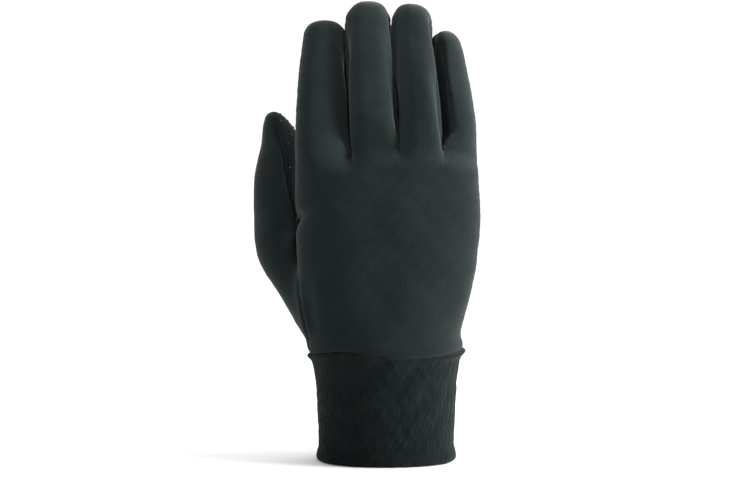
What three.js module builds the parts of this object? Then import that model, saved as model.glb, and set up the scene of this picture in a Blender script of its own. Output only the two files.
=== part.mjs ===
// A stretch-knit glove liner for a right hand, in the shape it has when a hand fills it.
// Millimetres. +Z runs from the cuff's mouth at z = 0 to the fingertips, the back of the hand
// faces -Y and the thumb lies at -X. The origin is the middle of the mouth, where the hand goes in.
//
// The hand is one skin of rings: a trunk from the wrist up, which forks into the palm and the thumb,
// and a palm which forks into four fingers. The skin is cut along its seams into the cloth panels,
// and each panel is thickened inwards into a solid of its own.
import * as THREE from "three";

// A table's rows as objects, with the columns named once.
function named(columns, ...rows) {
  const names = columns.split(" ");
  return rows.map((row) => Object.fromEntries(names.map((name, i) => [name, row[i]])));
}

// Driving dimensions
const CUFF_HEIGHT = 57;
const CUFF_WIDTH = 73;
const CUFF_DEPTH = 44;
const CUFF_WALL = 2.6; // two layers of knit, folded at the hem
const CUFF_FLARE = 4.2; // how much wider the seam's edge stands on each side than the cuff
const CUFF_SQUARE = 2.2; // 2 would be an oval
const HEM_ROLL = 1.1;
const KNIT_WALL = 1.5;
const SEAM_GAP = 0.3;
const FINGER_GAP = 0.4;
const FINGER_LENGTH = 76.4; // the middle finger's, from its fork
const FINGER_DEPTH = 22; // the middle finger's, at its fork
const PALM_LENGTH = 108; // from the cuff seam to the forks of the fingers
const PALM_DEPTH = 33;
const KNUCKLE_WIDTH = 94.8;
const FINGER_LEAN = -2.55; // how far the fingertips lean towards the thumb
const OUTER_BELLY = 1.1; // how far the row's outer edges bow out halfway up
const THUMB_FORK = 64; // from the cuff seam to the fork of the thumb
const THUMB_LENGTH = 63.5; // from that fork to the thumb's tip
const THUMB_REACH = 71.0; // from the hand's middle to the thumb's outer edge
const THUMB_WIDTH = 26.4;
const THUMB_DEPTH = 23.5;
const THUMB_SQUARE = 2.1; // 2 would be an oval
const THUMB_FORWARD = 20.5; // how far the thumb stands in front of the palm's middle
const FORK_DIP = 2.5; // how far the web of each finger fork sags
const THUMB_WEB_DIP = 4;

// The fingers from the thumb's side. `base` and `tip` are shares of the whole row's width, `length`
// of FINGER_LENGTH, and the rest of FINGER_DEPTH: the finger's own depth, how far its fork is set
// towards the palm, and how far its tip curls beyond that. `rounding` shapes the tip, 2 being round,
// `left` and `right` make the section's sides squarer or rounder, `bend` bows the line to the next
// finger, as a share of that line's lean, `turn` swings the finger's right side towards the palm,
// `roll` moves its left seam onto the back, in degrees, and `web` places the web before it, from the
// last finger's side at 0 to its own at 1.
const FINGERS = named(
  "name base tip length depth set curl rounding left right bend turn roll web",
  ["index", 0.311, 0.274, 0.9, 0.98, 0.04, 0.49, 2.8, 1.0, 0.84, 0.5, 0.12, 0, 0],
  ["middle", 0.266, 0.2775, 0.988, 1.0, -0.045, 0.49, 2.15, 1.35, 1.5, 0.4, 0, 0, 0.5],
  ["ring", 0.232, 0.2615, 0.95, 0.95, -0.01, 0.53, 2.3, 0.82, 1.4, -0.15, -0.06, 0, 0.5],
  ["little", 0.191, 0.187, 0.825, 0.84, 0.21, 0.55, 1.9, 0.95, 1.0, -0.3, 0.1, 55, 0.12],
);
const ROW_AHEAD = -0.29; // where the middle of the finger row stands, as a share of FINGER_DEPTH
const TIP_ROW_WIDTH = 82.1; // the whole row's width at the level of the shorter fingertips
const TIP_ROW_RISE = 59; // from the forks to that level
const ROW_START = 0.973; // where the row of fingers starts, as a share of PALM_LENGTH

// How high the skin forks, from the thumb's side to the little finger's, as shares of PALM_LENGTH.
const FORK_HEIGHTS = [0.965, 0.981, 1.029, 1.009, 0.955];

// A finger's section at shares of its length. `depth` is a share of the finger's own depth,
// `square` the section's exponent, and `strip` the half angle that the side strip takes, in degrees.
const FINGER_SECTIONS = [
  { at: 0.0, depth: 1.0, square: 2.7, strip: 22 },
  { at: 0.25, depth: 0.97, square: 2.5, strip: 20 },
  { at: 0.5, depth: 0.93, square: 2.35, strip: 18 },
  { at: 0.75, depth: 0.86, square: 2.25, strip: 15 },
  { at: 1.0, depth: 0.82, square: 2.1, strip: 10 },
];
const STRIP_END = 0.86; // the side strips run to this share of each finger's length
const TIP_ROUNDING = 0.52; // a fingertip's rounding, as a share of its width

// The trunk and palm at shares of PALM_LENGTH above the cuff seam. `seam`, `right`, `back`, `front`
// and `thumb` are how far each edge has gone from the wrist's size (0) to the hand's (1): the radial
// seam, the little finger's edge, the back, the palm and the thumb's outer edge. `middle` is the
// section's middle line and `ahead` the thumb's, as shares of PALM_DEPTH and THUMB_FORWARD.
const PALM_SECTIONS = named(
  "at seam right back front thumb middle ahead square",
  [0.0, 0.0, 0.0, 0.0, 0.0, 0.0, 0, 0.0, CUFF_SQUARE],
  [0.04, 0.0, -0.18, 0.1, 0.1, 0.0, -0.01, 0.02, 2.2],
  [0.085, 0.1, -0.24, 0.24, 0.22, 0.035, -0.03, 0.1, 2.25],
  [0.16, 0.36, -0.04, 0.46, 0.42, 0.235, -0.07, 0.3, 2.3],
  [0.28, 0.68, 0.4, 0.72, 0.68, 0.55, -0.12, 0.56, 2.35],
  [0.43, 0.88, 0.89, 0.93, 0.88, 0.9, -0.165, 0.84, 2.4],
  [0.513, 0.96, 1.03, 0.98, 0.93, 0.976, -0.18, 0.92, 2.45],
  [0.6, 0.98, 1.12, 1.0, 0.97, 1.0, -0.19, 0.97, 2.5],
  [0.7, 1.0, 1.17, 1.02, 1.0, 1.0, -0.195, 1.0, 2.5],
  [0.85, 1.0, 1.08, 1.16, 1.14, 1.0, -0.195, 1.0, 2.55],
  [1.0, 1.0, 1.0, 1.45, 1.4, 1.0, -0.193, 1.0, 2.7],
);
const THENAR_ROUND = 1.14; // the thumb's root is this much rounder than the thumb
const UNION_SOFTNESS = 9; // how softly the thumb's root runs into the palm
// Where the palm side of the skin is divided towards the thumb, at the wrist and at the thumb's fork,
// as shares of the wrist's half width and of the palm's: the thumb's seam, and the web's far end.
const THUMB_SEAM_AT_WRIST = 0.84;
const WEB_AT_WRIST = 0.55;
const WEB_AT_FORK = 0.7;
const THUMB_WEB_END = 28; // where the web's far end lies on the thumb, in degrees from +X towards the palm

// The thumb above its fork at shares of THUMB_LENGTH. `middle` is how far its middle has moved
// towards the hand, and `ahead` towards the palm, as shares of THUMB_WIDTH and THUMB_DEPTH. `seam`
// is where its back seam lies, in degrees past the middle of its back.
const THUMB_SECTIONS = [
  { at: 0.0, middle: 0.0, ahead: 0.0, width: 1.0, depth: 1.0, seam: 32 },
  { at: 0.25, middle: -0.01, ahead: 0.04, width: 1.0, depth: 0.97, seam: 28 },
  { at: 0.45, middle: 0.0, ahead: 0.08, width: 0.98, depth: 0.93, seam: 20 },
  { at: 0.6, middle: 0.045, ahead: 0.1, width: 0.92, depth: 0.88, seam: 10 },
  { at: 0.72, middle: 0.06, ahead: 0.1, width: 0.82, depth: 0.8, seam: 0 },
  { at: 0.83, middle: 0.02, ahead: 0.1, width: 0.67, depth: 0.7, seam: -8 },
  { at: 0.91, middle: -0.03, ahead: 0.09, width: 0.5, depth: 0.56, seam: -12 },
  { at: 0.965, middle: -0.07, ahead: 0.08, width: 0.31, depth: 0.36, seam: -14 },
  { at: 1.0, middle: -0.1, ahead: 0.08, width: 0.0, depth: 0.0, seam: -14 },
];

// The cuff at shares of CUFF_HEIGHT: how much of CUFF_FLARE its side stands out.
const CUFF_SECTIONS = [
  { at: 0.0, flare: -0.12 },
  { at: 0.3, flare: -0.08 },
  { at: 0.58, flare: 0.08 },
  { at: 0.8, flare: 0.34 },
  { at: 0.93, flare: 0.62 },
  { at: 1.0, flare: 1.0 },
];

// How the worn cuff seam waves round the wrist: its height above level as a share of SEAM_RISE, by
// the angle in degrees from +X. 270 is the middle of the back of the hand and 180 the thumb's side.
const SEAM_RISE = 3.6;
const SEAM_WAVE = [
  { at: 0, rise: 0.78 },
  { at: 60, rise: 0.33 },
  { at: 120, rise: 0.33 },
  { at: 180, rise: 0.0 },
  { at: 207, rise: 0.6 },
  { at: 225, rise: 1.0 },
  { at: 255, rise: 0.5 },
  { at: 290, rise: 0.17 },
  { at: 330, rise: 0.4 },
  { at: 360, rise: 0.78 },
];
const WAVE_FADE = 36; // the height over which the wave dies out above and below the seam

// How finely the skin is divided
const ARC_STEPS = 5; // over a finger's back or front
const SIDE_STEPS = 2; // over a finger's side
// Levels under the thumb's fork as shares of PALM_LENGTH, then of the way from there to the fingers,
// and of a finger's, the thumb's and the cuff's own length
const TRUNK_LEVELS = [0, 0.04, 0.09, 0.17, 0.27, 0.37, 0.48];
const PALM_LEVELS = [0.14, 0.32, 0.52, 0.72, 0.88];
const FINGER_LEVELS = [0.02, 0.08, 0.18, 0.34, 0.5, 0.66, 0.78, STRIP_END, 0.92, 0.965, 0.99];
const THUMB_LEVELS = [0.1, 0.24, 0.4, 0.56, 0.7, 0.81, 0.9, 0.96];
const CUFF_LEVELS = [0.035, 0.12, 0.3, 0.5, 0.68, 0.83, 0.93];
const OUTLINE_RAYS = 180;
const HALVINGS = 24; // of the step in which a ray leaves the outline
const JUST_INSIDE = 0.985; // how near its edge an outline may be cut, as a share of its reach
const LONGEST_MITER = 2.5; // at a panel's sharp corner, in half seam gaps

// How far up or down from a fork its shape is still felt, in shares of the ring's own run
const FINGER_SETTLES = 0.22;
const PALM_SETTLES = 0.4;
const THUMB_SETTLES = 0.42;
const KNUCKLES_FADE = 0.25;

const TURN = 360; // in degrees
const HALF_TURN = 180;
const WRIST_HALF = CUFF_WIDTH / 2 + CUFF_FLARE;
const WRIST_DEPTH_HALF = CUFF_DEPTH / 2 + CUFF_FLARE / 2;
const SKIN_FLOOR = CUFF_HEIGHT + SEAM_GAP / 2;
const THUMB_FORK_SHARE = THUMB_FORK / PALM_LENGTH;

const lerp = (a, b, t) => a + (b - a) * t;
const smooth = (t) => {
  const c = Math.min(1, Math.max(0, t));
  return c * c * (3 - 2 * c);
};

// A named column of a table at a share of its length, on a curve that runs through every row.
function along(rows, column, at) {
  let i = 0;
  while (i < rows.length - 2 && at > rows[i + 1].at) i += 1;
  const slope = (a, b) => (b[column] - a[column]) / (b.at - a.at);
  const [from, to] = [rows[i], rows[i + 1]];
  const chord = slope(from, to);
  const before = i > 0 ? (slope(rows[i - 1], from) + chord) / 2 : chord;
  const after = i < rows.length - 2 ? (chord + slope(to, rows[i + 2])) / 2 : chord;
  const run = to.at - from.at;
  const t = Math.min(1, Math.max(0, (at - from.at) / run));
  const [t2, t3] = [t * t, t * t * t];
  return (
    (2 * t3 - 3 * t2 + 1) * from[column] +
    (t3 - 2 * t2 + t) * run * before +
    (3 * t2 - 2 * t3) * to[column] +
    (t3 - t2) * run * after
  );
}

// A point of a rounded-square section, at an angle in degrees counted from +X through +Y.
function roundedPoint(middleX, middleY, halfX, halfY, square, degrees) {
  const angle = THREE.MathUtils.degToRad(degrees);
  const power = (value) => Math.sign(value) * Math.abs(value) ** (2 / square);
  const [x, y] = [power(Math.cos(angle)), power(Math.sin(angle))];
  return new THREE.Vector2(middleX + halfX * x, middleY + halfY * y);
}

// The sizes of the palm's section and the thumb root's at a share of PALM_LENGTH.
function palmSection(at) {
  const read = (column) => along(PALM_SECTIONS, column, at);
  const middle = read("middle") * PALM_DEPTH;
  const seam = lerp(WRIST_HALF, KNUCKLE_WIDTH / 2, read("seam"));
  const root = (THUMB_WIDTH / 2) * lerp(THENAR_ROUND, 1, smooth(at / THUMB_FORK_SHARE));
  return {
    middle,
    seam,
    right: lerp(WRIST_HALF, KNUCKLE_WIDTH / 2, read("right")),
    back: lerp(WRIST_DEPTH_HALF, PALM_DEPTH / 2, read("back")),
    front: lerp(WRIST_DEPTH_HALF, PALM_DEPTH / 2, read("front")),
    square: read("square"),
    root,
    rootX: root - lerp(WRIST_HALF, THUMB_REACH, read("thumb")),
    thumbSeam: -lerp(WRIST_HALF * THUMB_SEAM_AT_WRIST, THUMB_REACH - THUMB_WIDTH / 2, read("thumb")),
    web: -lerp(WRIST_HALF * WEB_AT_WRIST, (KNUCKLE_WIDTH / 2) * WEB_AT_FORK, read("thumb")),
    rootY: read("ahead") * THUMB_FORWARD,
    softness: UNION_SOFTNESS * smooth(at * 8),
  };
}

// How far outside the palm's section a point lies, roughly in millimetres; negative inside.
function outsidePalm(s, x, y) {
  const halfX = (s.seam + s.right) / 2;
  const halfY = y < s.middle ? s.back : s.front;
  const [u, v] = [(x - (s.right - s.seam) / 2) / halfX, (y - s.middle) / halfY];
  const reach = (Math.abs(u) ** s.square + Math.abs(v) ** s.square) ** (1 / s.square);
  return (reach - 1) * Math.min(halfX, halfY);
}

// The trunk's outline: the palm's section run softly together with the thumb's root.
function trunkOutline(s) {
  const outside = (x, y) => {
    const palm = outsidePalm(s, x, y);
    const root = Math.hypot(x - s.rootX, y - s.rootY) - s.root;
    if (s.softness < 1e-6) return Math.min(palm, root);
    const share = Math.min(1, Math.max(0, 0.5 + (root - palm) / (2 * s.softness)));
    return lerp(root, palm, share) - s.softness * share * (1 - share);
  };
  const [eyeX, eyeY] = [s.rootX * 0.35, s.rootY * 0.25];
  return Array.from({ length: OUTLINE_RAYS }, (_, ray) => {
    const angle = (2 * Math.PI * ray) / OUTLINE_RAYS;
    const [dx, dy] = [Math.cos(angle), Math.sin(angle)];
    let far = 2 * Math.max(KNUCKLE_WIDTH, THUMB_REACH);
    while (outside(eyeX + dx * (far - 1), eyeY + dy * (far - 1)) > 0) far -= 1;
    let near = far - 1;
    for (let step = 0; step < HALVINGS; step += 1) {
      const half = (near + far) / 2;
      if (outside(eyeX + dx * half, eyeY + dy * half) > 0) far = half;
      else near = half;
    }
    return new THREE.Vector2(eyeX + dx * far, eyeY + dy * far);
  });
}

// The palm's own outline, without the thumb.
function palmOutline(s) {
  return Array.from({ length: OUTLINE_RAYS }, (_, ray) => {
    const degrees = (TURN * ray) / OUTLINE_RAYS;
    const halfY = degrees > HALF_TURN ? s.back : s.front;
    return roundedPoint((s.right - s.seam) / 2, s.middle, (s.seam + s.right) / 2, halfY, s.square, degrees);
  });
}

// Where on an outline the given x lies, as a fractional index: on the back's side or the front's.
function crossing(outline, x, onBack) {
  const count = outline.length;
  for (let i = 0; i < count; i += 1) {
    const [a, b] = [outline[i], outline[(i + 1) % count]];
    const forward = b.x > a.x; // the outline runs counterclockwise, so the back's side runs to +X
    if (forward === onBack && (a.x - x) * (b.x - x) <= 0 && a.x !== b.x) return i + (x - a.x) / (b.x - a.x);
  }
  throw new Error("no outline point at x = " + x);
}

function extreme(outline, sign) {
  let best = 0;
  outline.forEach((p, i) => {
    if (p.x * sign > outline[best].x * sign) best = i;
  });
  return best;
}

// Points at even distances on an outline, from one fractional index on to another, both included.
function spaced(outline, from, to, steps) {
  const count = outline.length;
  const end = to <= from ? to + count : to;
  const at = (index) => {
    const i = Math.floor(index);
    return outline[i % count].clone().lerp(outline[(i + 1) % count], index - i);
  };
  const path = [at(from)];
  for (let i = Math.floor(from) + 1; i < end; i += 1) path.push(outline[i % count].clone());
  path.push(at(end));
  const lengths = [0];
  for (let i = 1; i < path.length; i += 1) lengths.push(lengths[i - 1] + path[i].distanceTo(path[i - 1]));
  const points = [];
  let i = 0;
  for (let step = 0; step <= steps; step += 1) {
    const wanted = (lengths.at(-1) * step) / steps;
    while (i < path.length - 2 && lengths[i + 1] < wanted) i += 1;
    const run = lengths[i + 1] - lengths[i];
    points.push(path[i].clone().lerp(path[i + 1], run > 0 ? (wanted - lengths[i]) / run : 0));
  }
  return points;
}

// The finger row's dividing lines, from the thumb's side, at the forks (0) and at the tip row (1).
function dividers() {
  const row = (column, width, middle) => {
    const total = FINGERS.reduce((sum, finger) => sum + finger[column], 0);
    const lines = [middle - width / 2];
    FINGERS.forEach((finger) => lines.push(lines.at(-1) + (finger[column] / total) * width));
    return lines;
  };
  return {
    forks: row("base", KNUCKLE_WIDTH, 0),
    tips: row("tip", TIP_ROW_WIDTH, FINGER_LEAN),
    bends: [0, ...FINGERS.map((finger) => finger.bend)],
  };
}
const DIVIDERS = dividers();

// How high the skin forks above the cuff seam, at a place across the row counted in fingers.
function forkHeight(place) {
  const i = Math.min(FINGERS.length - 1, Math.floor(place));
  return PALM_LENGTH * lerp(FORK_HEIGHTS[i], FORK_HEIGHTS[i + 1], place - i);
}

// A ring of the palm: its arcs over the back and front of each finger's column, and the side
// under the index finger. Arcs run counterclockwise seen from the fingertips.
function palmArcs(outline, s, hasThumb) {
  const columnX = (line) => {
    const share = (DIVIDERS.forks[line] - DIVIDERS.forks[0]) / KNUCKLE_WIDTH;
    return lerp(-s.seam, s.right, share);
  };
  const leftmost = extreme(outline, -1);
  const seamX = Math.max(-s.seam, outline[leftmost].x * JUST_INSIDE);
  const seamAt = hasThumb ? crossing(outline, seamX, true) : leftmost;
  const farSide = extreme(outline, 1);
  const backCuts = [seamAt, ...[1, 2, 3].map((line) => crossing(outline, columnX(line), true)), farSide];
  const webAt = crossing(outline, s.web, false);
  const frontCuts = [farSide, ...[3, 2, 1].map((line) => crossing(outline, columnX(line), false)), webAt];
  const arcs = (cuts) => cuts.slice(1).map((cut, i) => spaced(outline, cuts[i], cut, ARC_STEPS));
  const rootAt = hasThumb ? crossing(outline, s.thumbSeam, false) : null;
  return {
    back: arcs(backCuts),
    front: arcs(frontCuts),
    side: hasThumb ? null : spaced(outline, webAt, seamAt, SIDE_STEPS),
    rootFront: hasThumb ? spaced(outline, webAt, rootAt, ARC_STEPS) : null,
    rootBack: hasThumb ? spaced(outline, rootAt, seamAt, ARC_STEPS) : null,
  };
}

function lifted(points, z) {
  const heightAt = typeof z === "function" ? z : () => z;
  return points.map((p, i) => new THREE.Vector3(p.x, p.y, heightAt(i)));
}

// The trunk's ring at a share of PALM_LENGTH, level all round.
function trunkRing(at) {
  const s = palmSection(at);
  const arcs = palmArcs(trunkOutline(s), s, true);
  const z = SKIN_FLOOR + PALM_LENGTH * at;
  const lift = (list) => list.map((arc) => lifted(arc, z));
  return {
    back: lift(arcs.back),
    front: lift(arcs.front),
    rootFront: lifted(arcs.rootFront, z),
    rootBack: lifted(arcs.rootBack, z),
  };
}

// The palm's own ring at a share of the way from the thumb's fork to the fingers' forks.
function palmOwn(t) {
  const s = palmSection(lerp(THUMB_FORK_SHARE, 1, t));
  const arcs = palmArcs(palmOutline(s), s, false);
  const height = (place) => SKIN_FLOOR + lerp(THUMB_FORK, forkHeight(place), t);
  return {
    back: arcs.back.map((arc, finger) => lifted(arc, (i) => height(finger + i / ARC_STEPS))),
    front: arcs.front.map((arc, i) => lifted(arc, (j) => height(FINGERS.length - i - j / ARC_STEPS))),
    side: lifted(arcs.side, height(0)),
  };
}

// A finger's own section at a share of its length, with its four arcs.
function fingerOwn(index, t) {
  const finger = FINGERS[index];
  const [length, depth] = [finger.length * FINGER_LENGTH, finger.depth * FINGER_DEPTH];
  const base = SKIN_FLOOR + (forkHeight(index) + forkHeight(index + 1)) / 2;
  const aboveStart = base + t * length - SKIN_FLOOR - ROW_START * PALM_LENGTH;
  const rise = Math.min(1, Math.max(0, aboveStart / TIP_ROW_RISE));
  const bow = OUTER_BELLY * 4 * rise * (1 - rise);
  const line = (i) => {
    const share = rise + DIVIDERS.bends[i] * rise * (1 - rise);
    return lerp(DIVIDERS.forks[i], DIVIDERS.tips[i], share);
  };
  const isFirst = index === 0;
  const isLast = index === FINGERS.length - 1;
  const left = line(index) + (isFirst ? -bow : FINGER_GAP / 2);
  const right = line(index + 1) + (isLast ? bow : -FINGER_GAP / 2);
  const rounding = (TIP_ROUNDING * (right - left)) / length;
  const inTip = Math.max(0, (t - 1 + rounding) / rounding);
  const closing = (1 - Math.min(1, inTip) ** finger.rounding) ** (1 / finger.rounding);
  const halfX = ((right - left) / 2) * closing;
  const halfY = (depth / 2) * along(FINGER_SECTIONS, "depth", t) * closing;
  const square = along(FINGER_SECTIONS, "square", t);
  const strip = along(FINGER_SECTIONS, "strip", t);
  const middleY = FINGER_DEPTH * (ROW_AHEAD + finger.set + finger.curl * t * t);
  const tilt = Math.atan((2 * finger.curl * FINGER_DEPTH * t) / length);
  const middleZ = base + t * length;
  const arc = (from, to, steps) =>
    Array.from({ length: steps + 1 }, (_, i) => {
      const degrees = lerp(from, to, i / steps);
      const side = Math.cos(THREE.MathUtils.degToRad(degrees)) < 0 ? finger.left : finger.right;
      const p = roundedPoint(0, 0, halfX, halfY, square * side, degrees);
      const y = middleY + p.y * Math.cos(tilt) + finger.turn * p.x;
      return new THREE.Vector3((left + right) / 2 + p.x, y, middleZ - p.y * Math.sin(tilt));
    });
  const edge = isLast ? 0 : strip;
  const backFrom = HALF_TURN + finger.roll + (isFirst ? 0 : strip);
  const [backTo, frontFrom] = [TURN - edge, TURN + edge];
  const frontTo = TURN + HALF_TURN - (isFirst ? 2 : 1) * strip;
  return {
    back: arc(backFrom, backTo, ARC_STEPS),
    right: arc(backTo, frontFrom, SIDE_STEPS),
    front: arc(frontFrom, frontTo, ARC_STEPS),
    left: arc(frontTo, TURN + backFrom, SIDE_STEPS),
  };
}

// The thumb's own section at a share of its length above the fork.
function thumbOwn(t) {
  const root = palmSection(THUMB_FORK_SHARE);
  const read = (column) => along(THUMB_SECTIONS, column, t);
  const middleX = root.rootX + read("middle") * THUMB_WIDTH;
  const middleY = root.rootY + read("ahead") * THUMB_DEPTH;
  const z = SKIN_FLOOR + THUMB_FORK + t * THUMB_LENGTH;
  const [halfX, halfY] = [(read("width") * THUMB_WIDTH) / 2, (read("depth") * THUMB_DEPTH) / 2];
  const arc = (from, to, steps) =>
    Array.from({ length: steps + 1 }, (_, i) => {
      const p = roundedPoint(middleX, middleY, halfX, halfY, THUMB_SQUARE, lerp(from, to, i / steps));
      return new THREE.Vector3(p.x, p.y, z);
    });
  const backSeam = (3 / 4) * TURN + read("seam");
  const frontSeam = (1 / 4) * TURN;
  const webEnd = TURN + THUMB_WEB_END;
  return {
    rootBack: arc(frontSeam, backSeam, ARC_STEPS),
    web: arc(backSeam, webEnd, SIDE_STEPS),
    rootFront: arc(webEnd, TURN + frontSeam, ARC_STEPS),
  };
}

// A web between two points, sagging by `dip` in its middle.
function web(from, to, dip) {
  return Array.from({ length: SIDE_STEPS + 1 }, (_, i) => {
    const t = i / SIDE_STEPS;
    const p = from.clone().lerp(to, t);
    p.z -= dip * 4 * t * (1 - t);
    return p;
  });
}

// own + (fork - ownAtFork) * weight, point by point, with the fork's height kept out of it.
function settle(own, ownAtFork, fork, weight, heightWeight) {
  return own.map((p, i) => {
    const shift = fork[i].clone().sub(ownAtFork[i]);
    return new THREE.Vector3(p.x + shift.x * weight, p.y + shift.y * weight, p.z + shift.z * heightWeight);
  });
}

// The skin's faces, each with the name of its panel.
const faces = [];
function strip(lower, upper, panelOf) {
  for (let i = 0; i < lower.length - 1; i += 1) {
    faces.push({ panel: panelOf(i), corners: [lower[i], lower[i + 1], upper[i + 1], upper[i]] });
  }
}

const always = (panel) => () => panel;
const stripName = (left) => "side_strip_" + FINGERS[left].name + "_" + FINGERS[left + 1].name;

// The forks' rings
const thumbFork = trunkRing(THUMB_FORK_SHARE);
const thumbWeb = web(thumbFork.back[0][0], thumbFork.front.at(-1).at(-1), THUMB_WEB_DIP);

function fingerForks() {
  const own = FINGERS.map((_, index) => fingerOwn(index, 0));
  const height = (line) => SKIN_FLOOR + forkHeight(line);
  const shared = [1, 2, 3].map((line) => {
    const [left, right] = [own[line - 1].right, [...own[line].left].reverse()];
    return left.map((p, i) => {
      const t = i / SIDE_STEPS;
      const q = p.clone().lerp(right[i], FINGERS[line].web);
      q.z = height(line) - FORK_DIP * 4 * t * (1 - t);
      return q;
    });
  });
  return own.map((finger, index) => {
    const right = shared[index] ?? finger.right.map((p) => new THREE.Vector3(p.x, p.y, height(index + 1)));
    const left = index
      ? [...shared[index - 1]].reverse()
      : finger.left.map((p) => new THREE.Vector3(p.x, p.y, height(0)));
    const bridge = (arc, from, to, placeFrom, placeTo) =>
      arc.map((p, i) => {
        const t = i / ARC_STEPS;
        const shiftFrom = from.clone().sub(arc[0]);
        const shiftTo = to.clone().sub(arc.at(-1));
        const q = p.clone().add(shiftFrom.lerp(shiftTo, t));
        q.z = SKIN_FLOOR + forkHeight(lerp(placeFrom, placeTo, t));
        return q;
      });
    return {
      own: finger,
      back: bridge(finger.back, left.at(-1), right[0], index, index + 1),
      right,
      front: bridge(finger.front, right.at(-1), left[0], index + 1, index),
      left,
    };
  });
}
const FORKS = fingerForks();

function addTrunk() {
  let lower = trunkRing(TRUNK_LEVELS[0]);
  for (const at of [...TRUNK_LEVELS.slice(1), THUMB_FORK_SHARE]) {
    const upper = at === THUMB_FORK_SHARE ? thumbFork : trunkRing(at);
    lower.back.forEach((arc, i) => strip(arc, upper.back[i], always("back_panel")));
    lower.front.forEach((arc, i) => strip(arc, upper.front[i], always("palm_panel")));
    strip(lower.rootFront, upper.rootFront, always("palm_panel"));
    strip(lower.rootBack, upper.rootBack, always("thumb_back"));
    lower = upper;
  }
}

function addPalm() {
  const [start, end] = [palmOwn(0), palmOwn(1)];
  const fork = { back: thumbFork.back, front: thumbFork.front, side: [...thumbWeb].reverse() };
  const top = {
    back: FORKS.map((finger) => finger.back),
    front: [...FORKS].reverse().map((finger) => finger.front),
    side: FORKS[0].left,
  };
  const ring = (t) => {
    if (t === 0) return fork;
    if (t === 1) return top;
    const own = palmOwn(t);
    const fromThumb = 1 - smooth(t / PALM_SETTLES);
    const toFingers = smooth((t - 1 + KNUCKLES_FADE) / KNUCKLES_FADE);
    const blend = (a, b, c, d, e) => {
      const lowerPart = settle(a, b, c, fromThumb, fromThumb);
      return settle(lowerPart, d, e, toFingers, toFingers);
    };
    const each = (arc) =>
      own[arc].map((p, i) => blend(p, start[arc][i], fork[arc][i], end[arc][i], top[arc][i]));
    return {
      back: each("back"),
      front: each("front"),
      side: blend(own.side, start.side, fork.side, end.side, top.side),
    };
  };
  let lower = ring(0);
  for (const t of [...PALM_LEVELS, 1]) {
    const upper = ring(t);
    lower.back.forEach((arc, i) => strip(arc, upper.back[i], always("back_panel")));
    lower.front.forEach((arc, i) => strip(arc, upper.front[i], always("palm_panel")));
    strip(lower.side, upper.side, always("palm_panel"));
    lower = upper;
  }
}

function addFinger(index) {
  const fork = FORKS[index];
  const isLast = index === FINGERS.length - 1;
  const sidePanel = (neighbour, t, isBackHalf) => {
    if (neighbour !== null && t <= STRIP_END + 1e-9) return neighbour;
    return isBackHalf ? "back_panel" : "palm_panel";
  };
  const addRun = (lower, upper, t) => {
    const half = SIDE_STEPS / 2;
    strip(lower.back, upper.back, always("back_panel"));
    strip(lower.front, upper.front, always("palm_panel"));
    if (!isLast) strip(lower.right, upper.right, (i) => sidePanel(stripName(index), t, i < half));
    if (index) strip(lower.left, upper.left, (i) => sidePanel(stripName(index - 1), t, i >= half));
    else strip(lower.left, upper.left, always("palm_panel"));
  };
  let lower = fork;
  for (const t of FINGER_LEVELS) {
    const own = fingerOwn(index, t);
    const weight = 1 - smooth(t / FINGER_SETTLES);
    const upper = Object.fromEntries(
      ["back", "right", "front", "left"].map((arc) => [
        arc,
        settle(own[arc], fork.own[arc], fork[arc], weight, weight),
      ]),
    );
    addRun(lower, upper, t);
    lower = upper;
  }
  const tip = fingerOwn(index, 1).back[0];
  const arcs = ["back", "right", "front", "left"];
  const pole = Object.fromEntries(arcs.map((arc) => [arc, lower[arc].map(() => tip)]));
  addRun(lower, pole, 1);
}

function addThumb() {
  const start = thumbOwn(0);
  const fork = { rootBack: thumbFork.rootBack, web: thumbWeb, rootFront: thumbFork.rootFront };
  const addRun = (lower, upper) => {
    strip(lower.rootBack, upper.rootBack, always("thumb_back"));
    strip(lower.web, upper.web, always("palm_panel"));
    strip(lower.rootFront, upper.rootFront, always("palm_panel"));
  };
  let lower = fork;
  for (const t of THUMB_LEVELS) {
    const own = thumbOwn(t);
    const weight = 1 - smooth(t / THUMB_SETTLES);
    const upper = Object.fromEntries(
      Object.keys(own).map((arc) => [arc, settle(own[arc], start[arc], fork[arc], weight, weight)]),
    );
    addRun(lower, upper);
    lower = upper;
  }
  const tip = thumbOwn(1).rootBack[0];
  addRun(lower, Object.fromEntries(Object.keys(lower).map((arc) => [arc, lower[arc].map(() => tip)])));
}

// Numbers the skin's points, so that faces which meet share them.
function weld() {
  const points = [];
  const numbers = new Map();
  const number = (p) => {
    const key = [p.x, p.y, p.z].map((v) => Math.round(v * 1e4)).join(",");
    if (!numbers.has(key)) {
      numbers.set(key, points.length);
      points.push(p.clone());
    }
    return numbers.get(key);
  };
  const cells = faces.map((face) => {
    const loop = face.corners.map(number);
    return { panel: face.panel, loop: loop.filter((n, i) => n !== loop[(i + 1) % loop.length]) };
  });
  return { points, cells: cells.filter((cell) => cell.loop.length > 2) };
}

function faceNormal(points, loop) {
  const [a, b, c, d] = [0, 1, 2, loop.length - 1].map((i) => points[loop[i]]);
  const across = loop.length === 4 ? [c.clone().sub(a), d.clone().sub(b)] : [b.clone().sub(a), c.clone().sub(a)];
  return across[0].cross(across[1]);
}

// The way outwards at each point of the skin. The wrist's edge keeps its level.
function outwards({ points, cells }) {
  const normals = points.map(() => new THREE.Vector3());
  cells.forEach(({ loop }) => {
    const normal = faceNormal(points, loop);
    loop.forEach((n) => normals[n].add(normal));
  });
  return normals.map((normal, n) => {
    if (points[n].z < SKIN_FLOOR + 1e-6) normal.z = 0;
    return normal.normalize();
  });
}

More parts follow.
